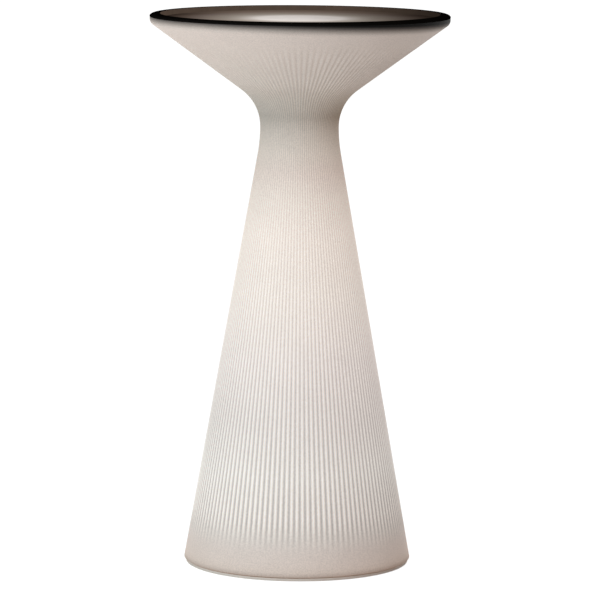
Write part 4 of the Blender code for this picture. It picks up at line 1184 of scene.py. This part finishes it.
@dataclass
class TopAssembly(SubAssembly):
    """The black rim, the smoked disc inside it and their gasket."""

    table_height: float = 1.100
    seam_height: float = 1.0938
    seam_radius: float = 0.2976
    rim_radius: float = 0.298
    corner: Pair = (0.010, 0.0055)
    land: float = 0.0115
    lip: float = 0.0012
    skirt_radius: float = 0.2894
    flange_inner: float = 0.25603
    flange: Pair = (1.0804, 1.0829)
    disc_radius: float = 0.2755
    disc: Pair = (1.0845, 1.0905)
    disc_round: float = 0.0012
    disc_rings: tuple[float, ...] = (0.20, 0.12, 0.05, 0.0)
    gasket: Pair = (0.25703, 0.2745)
    gasket_heights: Pair = (1.0832, 1.0842)
    steps: int = 240

    def build(self) -> None:
        """Makes the rim, the disc and the gasket."""
        self.add("rim_ring", self.rim(), Finish.RIM, "top_rim", sharp=40.0)
        self.add("smoked_disc", self.smoked_disc(), Finish.TOP, "top_disc")
        self.add_seal("disc_seal_ring", "disc_gasket", self.gasket, self.gasket_heights, self.steps)

    def rim(self) -> Workpiece:
        """Turns the rim.

        Returns:
            The rim, with a foot flange, an upright inner wall and a rounded nose.
        """
        nose_radius = self.rim_radius - self.corner[0]
        inner = nose_radius - self.land
        outline = [(self.flange_inner, self.flange[0]), (self.flange_inner, self.flange[1]), (inner, self.flange[1])]
        outline += arc((inner + self.lip, self.table_height - self.lip), -self.lip, 0.0, -QUARTER_TURN, 4)
        low = self.table_height - self.corner[1]
        for turn in [QUARTER_TURN * (1.0 - step / 10.0) for step in range(11)]:
            outline.append((nose_radius + self.corner[0] * math.cos(turn), low + self.corner[1] * math.sin(turn)))
        outline += [(self.seam_radius, self.seam_height), (self.skirt_radius, self.seam_height)]
        outline.append((self.skirt_radius, self.flange[0]))
        return Workpiece().turned(outline, self.steps, closed=True)

    def smoked_disc(self) -> Workpiece:
        """Turns the disc.

        Returns:
            The disc, with a polished round edge.
        """
        bottom, top = self.disc
        turn = self.disc_round
        outline = [(0.0, bottom), (self.disc_radius - turn / 2.0, bottom), (self.disc_radius, bottom + turn / 2.0)]
        outline += arc((self.disc_radius - turn, top - turn), turn, 0.0, QUARTER_TURN, 5)
        outline += [(radius, top) for radius in self.disc_rings]
        return Workpiece().turned(outline, self.steps)


@dataclass
class Screws(SubAssembly):
    """One ring of countersunk screws, each with a hexagon socket."""

    stem: str
    circle: float
    height: float
    length: float
    head_up: bool
    head_radius: float = 0.004
    head_height: float = 0.002
    head_round: float = 0.0002
    shank_radius: float = 0.002
    root_share: float = 0.82
    pitch: float = 0.0008
    thread_start: float = 0.0004
    thread_end: float = 0.001
    tip_share: float = 0.8
    socket_radius: float = 0.0015
    socket_depth: float = 0.0016

    def build(self) -> None:
        """Makes the screws, head and thread, in their places."""
        for number, (x, y, angle) in enumerate(around(SCREWS, self.circle), start=1):
            tip = Matrix.Identity(4) if self.head_up else Matrix.Rotation(math.pi, 4, "X")
            place = Matrix.Translation((x, y, self.height)) @ Matrix.Rotation(angle, 4, "Z") @ tip
            self.add(f"{self.stem}_socket_{number}", self.one().moved(place), Finish.STAINLESS, f"{self.stem}_{number}")

    def one(self) -> Workpiece:
        """Makes one screw.

        Returns:
            The screw, which points down from height 0.
        """
        outline = [(0.0, 0.0), (self.head_radius - self.head_round, 0.0), (self.head_radius, -self.head_round)]
        outline += [(self.shank_radius, -self.head_height)]
        root = self.shank_radius * self.root_share
        for turn in range(int((self.length - self.head_height - self.thread_end) / self.pitch)):
            start = self.head_height + self.thread_start + turn * self.pitch
            outline += [(root, -start), (self.shank_radius, -(start + self.pitch / 2.0))]
        outline += [(root * self.tip_share, -self.length), (0.0, -self.length)]
        socket = Workpiece().rod(self.socket_radius, -self.socket_depth, self.socket_depth, 6)
        return Carving(Workpiece().turned(outline, 24)).apply(Cut.AWAY, socket).finished()


@dataclass
class Foot(SubAssembly):
    """The base plate, the gasket over it and the levelling glides."""

    plate_radius: float = 0.2226
    plate: Pair = (0.0015, 0.0070)
    edge_round: float = 0.001
    gasket: Pair = (0.2116, 0.2166)
    gasket_heights: Pair = (0.0073, 0.0085)
    screw_circle: float = 0.2024
    screw_head: float = 0.0043
    screw_shank: float = 0.0023
    sink_depth: float = 0.002
    unit_radius: float = 0.0721
    unit_clearance: float = 0.0007
    unit_flange: float = 0.0811
    recess_top: float = 0.0051
    lug_reach: float = 0.0033
    lug_top: float = 0.0103
    lug_start: float = math.radians(12.0)
    unit_turn: float = math.radians(45.0)
    notch_sweep: float = math.radians(24.0)
    stop_angle: float = math.radians(11.9)
    stop_sweep: float = math.radians(3.0)
    stop_wall: float = 0.005
    stop_root: float = 0.002
    notch_overlap: float = 0.003
    glide_circle: float = 0.1724
    pad_radius: float = 0.014
    pad_height: float = 0.004
    pad_round: float = 0.0012
    pad_edge: float = 0.0004
    pad_hollow: float = 0.0006
    pad_hollow_shares: Pair = (0.55, 0.6)
    stud_radius: float = 0.004
    stud: Pair = (0.0043, 0.0323)
    thread_depth: float = 0.00065
    thread_pitch: float = 0.00125
    thread_share: float = 0.42
    thread_overlap: float = 0.0002
    steps: int = 240

    def build(self) -> None:
        """Makes the plate, the gasket and the glides, and dresses the nuts."""
        places = list(around(4, self.glide_circle, math.pi / 4.0))
        self.add("foot_board", self.board(places), Finish.BASE, "base_plate")
        # Black silicone seal; its dark ring also stands in for the shade in the gap between the shell and the plate.
        self.add_seal("foot_seal_ring", "foot_gasket", self.gasket, self.gasket_heights, self.steps)
        for number, (x, y, _) in enumerate(places, start=1):
            place, body = Matrix.Translation((x, y, 0.0)), Body.GLIDE.named(number)
            pad, stud = self.pad().moved(place), self.threaded_stud().moved(place)
            self.add(f"glide_pad_turned_{number}", pad, Finish.PAD, f"glide_pad_{number}", body)
            self.add(f"glide_stud_threaded_{number}", stud, Finish.ZINC, f"glide_stud_{number}", body, 25.0)
        self.dress(Finish.ZINC, "glide_nut", count=4)

    def board(self, glides: Sequence[Triple]) -> Workpiece:
        """The base plate with its openings and the stops of the bayonet.

        Args:
            glides: Where the levelling glides stand.

        Returns:
            The plate on the bench.
        """
        bottom, top = self.plate
        turn = self.edge_round
        outline = [(0.0, bottom), (self.plate_radius - turn, bottom)]
        outline += arc((self.plate_radius - turn, bottom + turn), turn, -QUARTER_TURN, 0.0, 4)[1:]
        outline += [(self.plate_radius, top), (0.0, top)]
        over, under = top + CUT_OVERRUN, bottom - CUT_OVERRUN
        bore, recess = self.unit_radius + self.unit_clearance, self.unit_flange + self.unit_clearance
        mouth = [(0.0, under), (recess, under), (recess, self.recess_top), (bore, self.recess_top)]
        mouth += [(bore, over), (0.0, over)]
        stops, notches = Workpiece(), Workpiece()
        for _, _, angle in around(3, 1.0, self.lug_start):
            radii = (bore + GAP, bore + GAP + self.stop_wall)
            stops.sector(radii, (top - self.stop_root, self.lug_top), angle - self.stop_angle, self.stop_sweep)
            radii = (bore - self.notch_overlap, bore + self.lug_reach)
            notches.sector(radii, (under, over), angle + self.unit_turn, self.notch_sweep)
        head, shank, neck = self.screw_head, self.screw_shank, bottom + self.sink_depth
        sink = [(0.0, under), (head, under), (head, bottom), (shank, neck), (shank, over), (0.0, over)]
        sinks = Workpiece().turned(sink, 32).copied(list(around(SCREWS, self.screw_circle)))
        wide, narrow, roof = self.pad_radius + GAP, self.stud_radius + GAP, self.pad_height + GAP
        pocket = [(0.0, under), (wide, under), (wide, roof), (narrow, roof), (narrow, over), (0.0, over)]
        pockets = Workpiece().turned(pocket, 48).copied(glides)
        carving = Carving(Workpiece().turned(outline, self.steps)).apply(Cut.ON, stops)
        return carving.apply(Cut.AWAY, Workpiece().turned(mouth, 160), notches, sinks, pockets).finished()

    def pad(self) -> Workpiece:
        """Turns a glide's pad.

        Returns:
            The pad, hollow in the middle and rounded outside.
        """
        radius, turn, high = self.pad_radius, self.pad_round, self.pad_height
        hollow, edge = self.pad_hollow, self.pad_edge
        near, far = (radius * share for share in self.pad_hollow_shares)
        outline = [(0.0, hollow), (near, hollow), (far, 0.0), (radius - turn, 0.0)]
        outline += arc((radius - turn, turn), turn, -QUARTER_TURN, 0.0, 4)[1:]
        outline += [(radius, high - edge), (radius - edge, high), (0.0, high)]
        return Workpiece().turned(outline, 64)

    def threaded_stud(self) -> Workpiece:
        """Makes a glide's stud.

        Returns:
            A rod inside a helical thread.
        """
        low, high = self.stud
        root, pitch = self.stud_radius - self.thread_depth, self.thread_pitch
        inner, half, start = root - self.thread_overlap, pitch * self.thread_share, low + pitch
        turns = int((high - low - 2.0 * pitch) / pitch)
        thread = Workpiece()
        face = thread.profile([(inner, start - half), (self.stud_radius, start), (inner, start + half)])
        loose = thread.swept([face], turns * FULL_TURN, turns * COIL_FACETS, turns * pitch).mesh("thread")
        work = Workpiece().rod(root, low, high, 32)
        work.bm.from_mesh(loose)
        bpy.data.meshes.remove(loose)
        return work


@dataclass
class LightUnit(SubAssembly):
    """The battery light unit, which turns out of the base plate by its grip wells."""

    bottom: float = 0.0015
    wall: float = 0.002
    radius: float = 0.0721
    flange_radius: float = 0.0811
    flange_round: float = 0.0008
    inner_radius: float = 0.0701
    top: float = 0.0589
    lug: Pair = (0.0073, 0.0103)
    lug_start: float = math.radians(12.0)
    lug_sweep: float = math.radians(20.0)
    lug_reach: float = 0.0033
    well_radius: float = 0.045
    well_roof: Pair = (0.0175, 0.0195)
    well_round: float = 0.0015
    grip_width: float = 0.016
    control_offset: float = 0.024
    indicator_offset: float = 0.014
    indicator_radius: float = 0.0018
    button_radius: float = 0.006
    button_bottom: float = 0.0160
    button_travel: float = 0.0006
    button_flange: Pair = (0.0015, 0.001)
    button_edge: float = 0.0004
    dish: tuple[Pair, ...] = ((0.0, 0.0005), (0.55, 0.0003), (0.8, 0.0))
    socket_radius: float = 0.005
    hinge: Pair = (0.0321, 0.0156)
    hinge_ear: float = 0.0016
    hinge_ears: Pair = (0.0033, 0.0048)
    spring_wire: float = 0.0002
    spring_radius: float = 0.002
    spring_turns: int = 3
    steps: int = 160
    unit: str = Body.LIGHT_UNIT.named()

    def build(self) -> None:
        """Makes what shows of the unit from below and the button's spring, and dresses what is inside it."""
        self.add("unit_cup", self.cup(), Finish.CASING, "unit_housing", self.unit)
        self.add("push_button", self.button(), Finish.BUTTON, "power_button", Body.BUTTON.named())
        self.spring()
        self.dress(Finish.SEAL, "unit_seal", "dome_seal", "charge_cap")
        self.dress(Finish.DOME, "unit_dome")
        self.dress(Finish.BOARD, "driver_board")
        self.dress(Finish.LIGHT_BOARD, "led_board")
        self.dress(Finish.PHOSPHOR, "led", count=6)
        self.dress(Finish.ALUMINIUM, "heat_spreader")
        self.dress(Finish.WRAP, "battery_cell", count=3)
        self.dress(Finish.TRAY, "battery_tray")
        self.dress(Finish.COMPONENT, "button_switch", "charge_socket")
        self.dress(Finish.STAINLESS, "cap_pin")
        self.dress(Finish.ZINC, "unit_screw", count=4)
        self.dress(Finish.LEAD, "led_lead")
        self.dress(Finish.LIGHT_PIPE, "charge_indicator")

    def half_rounds(self, radius: float, flat: float, low: float, high: float) -> Workpiece:
        """A pair of half-round blocks on both sides of the grip bar.

        Args:
            radius: Radius of the pair together.
            flat: How far their flat sides are from the middle.
            low: Height of their underside.
            high: Height of their top.

        Returns:
            The pair on a bench of their own.
        """
        work = Workpiece().rod(radius, low, high, 96)
        for side in (-1.0, 1.0):
            cut = {"plane_co": (side * flat, 0.0, 0.0), "plane_no": (side, 0.0, 0.0)}
            bmesh.ops.bisect_plane(work.bm, geom=work.everything(), **cut)
        between = [face for face in work.bm.faces if abs(face.calc_center_median().x) < flat]
        bmesh.ops.delete(work.bm, geom=between, context="FACES")
        bmesh.ops.holes_fill(work.bm, edges=[edge for edge in work.bm.edges if edge.is_boundary])
        return work

    def cup(self) -> Workpiece:
        """Makes the unit's cup.

        Returns:
            The cup, with its wells, its lugs and the holes of its controls.
        """
        floor, edge, flat = self.bottom + self.wall, self.flange_round, self.grip_width / 2.0
        roof_low, roof_high = self.well_roof
        outline = [(0.0, self.bottom), (self.flange_radius - edge, self.bottom)]
        outline += arc((self.flange_radius - edge, self.bottom + edge), edge, -QUARTER_TURN, 0.0, 3)[1:]
        outline += [(self.flange_radius, floor), (self.radius, floor), (self.radius, self.top)]
        outline += [(self.inner_radius, self.top), (self.inner_radius, floor), (0.0, floor)]
        surround = self.half_rounds(self.well_radius + self.wall, flat - self.wall, floor - self.wall / 2.0, roof_high)
        wells = self.half_rounds(self.well_radius, flat, self.bottom - CUT_OVERRUN, roof_low)
        rim = [line for line in wells.bm.edges if all(abs(v.co.z - roof_low) < MERGE_DISTANCE for v in line.verts)]
        shape = {"segments": 3, "profile": 0.5, "affect": "EDGES", "material": -1, "clamp_overlap": True}
        bmesh.ops.bevel(wells.bm, geom=rim, offset=self.well_round, **shape)
        lugs, ears, holes = Workpiece(), Workpiece(), Workpiece()
        for _, _, angle in around(3, 1.0, self.lug_start):
            lugs.sector((self.radius - self.wall / 2.0, self.radius + self.lug_reach), self.lug, angle, self.lug_sweep)
        (x, z), ear = self.hinge, self.hinge_ear
        for side in (-1.0, 1.0):
            near, far = sorted(side * reach for reach in self.hinge_ears)
            ears.block((x - ear, near, z - ear), (x + ear, far, roof_low + self.wall / 2.0))
        low, high, away = roof_low - self.wall, roof_high + self.wall, self.control_offset
        holes.rod(self.button_radius + GAP, low, high, 48, (-away, 0.0))
        holes.rod(self.socket_radius + GAP, low, high, 48, (away, 0.0))
        holes.rod(self.indicator_radius, low, high, 24, (-away, self.indicator_offset))
        carving = Carving(Workpiece().turned(outline, self.steps)).apply(Cut.ON, surround).apply(Cut.AWAY, wells)
        return carving.apply(Cut.ON, lugs, ears).apply(Cut.AWAY, holes).finished()

    def button(self) -> Workpiece:
        """Turns the push button.

        Returns:
            The button, with a dished face.
        """
        low, radius, edge = self.button_bottom, self.button_radius, self.button_edge
        flange = self.well_roof[1] + GAP
        wide, top = radius + self.button_flange[0], flange + self.button_flange[1]
        outline = [(radius * share, low + depth) for share, depth in self.dish]
        outline += [(radius - edge, low), (radius, low + edge), (radius, flange)]
        outline += [(wide, flange), (wide, top), (0.0, top)]
        return Workpiece().turned(outline, 64).moved(Matrix.Translation((-self.control_offset, 0.0, 0.0)))

    def spring(self) -> None:
        """Makes the button's spring, between the button and the switch, and gives it a mesh of its own."""
        (_, _, low), (_, _, high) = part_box("button_spring")
        wire = self.spring_wire
        work = Workpiece().coil(wire, self.spring_radius, low + wire, high - wire, self.spring_turns)
        work.moved(Matrix.Translation((-self.control_offset, 0.0, 0.0)))
        piece = self.add("return_spring", work, Finish.STAINLESS, "button_spring", self.unit, 60.0)
        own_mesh(piece)


# Studio


@dataclass
class Studio:
    """Floor, lamps and camera."""

    world_light: float = 0.20
    world_colour: Triple = (1.0, 1.0, 0.985)
    floor_size: float = 160.0
    floor_base: Triple = (0.90, 0.90, 0.90)
    floor_lift: float = 0.9
    lamp_aim: Triple = (0.0, 0.0, 0.6)
    distance: float = 7.81
    eye_height: float = 1.567
    pitch: float = math.radians(7.423)
    roll: float = math.radians(0.365)
    lens: float = 236.7
    sensor: float = 36.0
    shift: Pair = (0.0026, -0.01767)
    sight: float = 400.0

    def build(self) -> None:
        """Sets up the whole studio."""
        self.floor()
        self.world()
        self.lamp("key", place=(-2.6, -5.0, 1.3), size=2.0, power=114.0, colour=(0.875, 0.93, 1.0))
        self.lamp("side", place=(-4.0, -2.5, 0.6), size=1.0, power=24.0, colour=(0.30, 0.85, 1.0))
        self.camera()
        bpy.context.scene.view_settings.view_transform = "Standard"

    def floor(self) -> None:
        """A wide pale floor that keeps the table's shadow."""
        work = Workpiece()
        bmesh.ops.create_grid(work.bm, x_segments=2, y_segments=2, size=self.floor_size / 2.0)
        sheet = NodeSheet(bpy.data.materials.new("pale floor"))
        sheet.finished({"Base Color": self.floor_base, "Roughness": 0.9, "Specular IOR Level": 0.0})
        lift = sheet.node("ShaderNodeEmission", {"Strength": sheet.worked("MULTIPLY", sheet.seen(), self.floor_lift)})
        plain = sheet.tree.nodes["Principled BSDF"]
        both = sheet.node("ShaderNodeAddShader", {0: plain.outputs[0], 1: lift.outputs[0]})
        sheet.feed(sheet.tree.nodes["Material Output"].inputs["Surface"], both.outputs[0])
        mesh = work.mesh("studio_floor")
        mesh.materials.append(sheet.owner)
        in_scene("studio_floor", mesh)

    def world(self) -> None:
        """Even light from all round, in front of a white background."""
        world = bpy.data.worlds.new("studio")
        bpy.context.scene.world = world
        sheet = NodeSheet(world)
        light = sheet.tree.nodes["Background"]
        sheet.feed(light.inputs["Color"], self.world_colour)
        sheet.feed(light.inputs["Strength"], self.world_light)
        white = sheet.node("ShaderNodeBackground", {"Color": WHITE})
        mix = sheet.node("ShaderNodeMixShader", {0: sheet.seen(), 1: light.outputs[0], 2: white.outputs[0]})
        sheet.feed(sheet.tree.nodes["World Output"].inputs["Surface"], mix.outputs[0])

    def lamp(self, name: str, place: Triple, size: float, power: float, colour: Triple) -> None:
        """Hangs a soft lamp that points at the middle of the table.

        Args:
            name: The lamp's name.
            place: Where it hangs.
            size: Width of its square screen.
            power: Its power in watts.
            colour: Its colour.
        """
        data = bpy.data.lights.new(name, "AREA")
        data.size = size
        data.energy = power
        data.color = colour
        lamp = in_scene(name, data)
        lamp.location = place
        lamp.rotation_euler = (Vector(self.lamp_aim) - Vector(place)).to_track_quat("-Z", "Y").to_euler()

    def camera(self) -> None:
        """The camera, at the photograph's distance, height and tilt."""
        data = bpy.data.cameras.new("camera")
        data.lens = self.lens
        data.sensor_width = self.sensor
        data.shift_x, data.shift_y = self.shift
        data.clip_end = self.sight
        camera = in_scene("camera", data)
        tilt = Matrix.Rotation(QUARTER_TURN - self.pitch, 4, "X")
        stand = Matrix.Translation((0.0, -self.distance, self.eye_height))
        camera.matrix_world = stand @ tilt @ Matrix.Rotation(self.roll, 4, "Z")
        bpy.context.scene.camera = camera


def main() -> None:
    """Builds the studio and the table."""
    logging.basicConfig(level=logging.INFO, format="%(name)s: %(message)s")
    Studio().build()
    RibbedBody().build()
    TopAssembly().build()
    Screws("rim_screw", circle=0.26303, height=1.0829, length=0.0115, head_up=True).build()
    Foot().build()
    Screws("base_screw", circle=0.2024, height=0.0015, length=0.016, head_up=False).build()
    LightUnit().build()


if __name__ == "__main__":
    main()
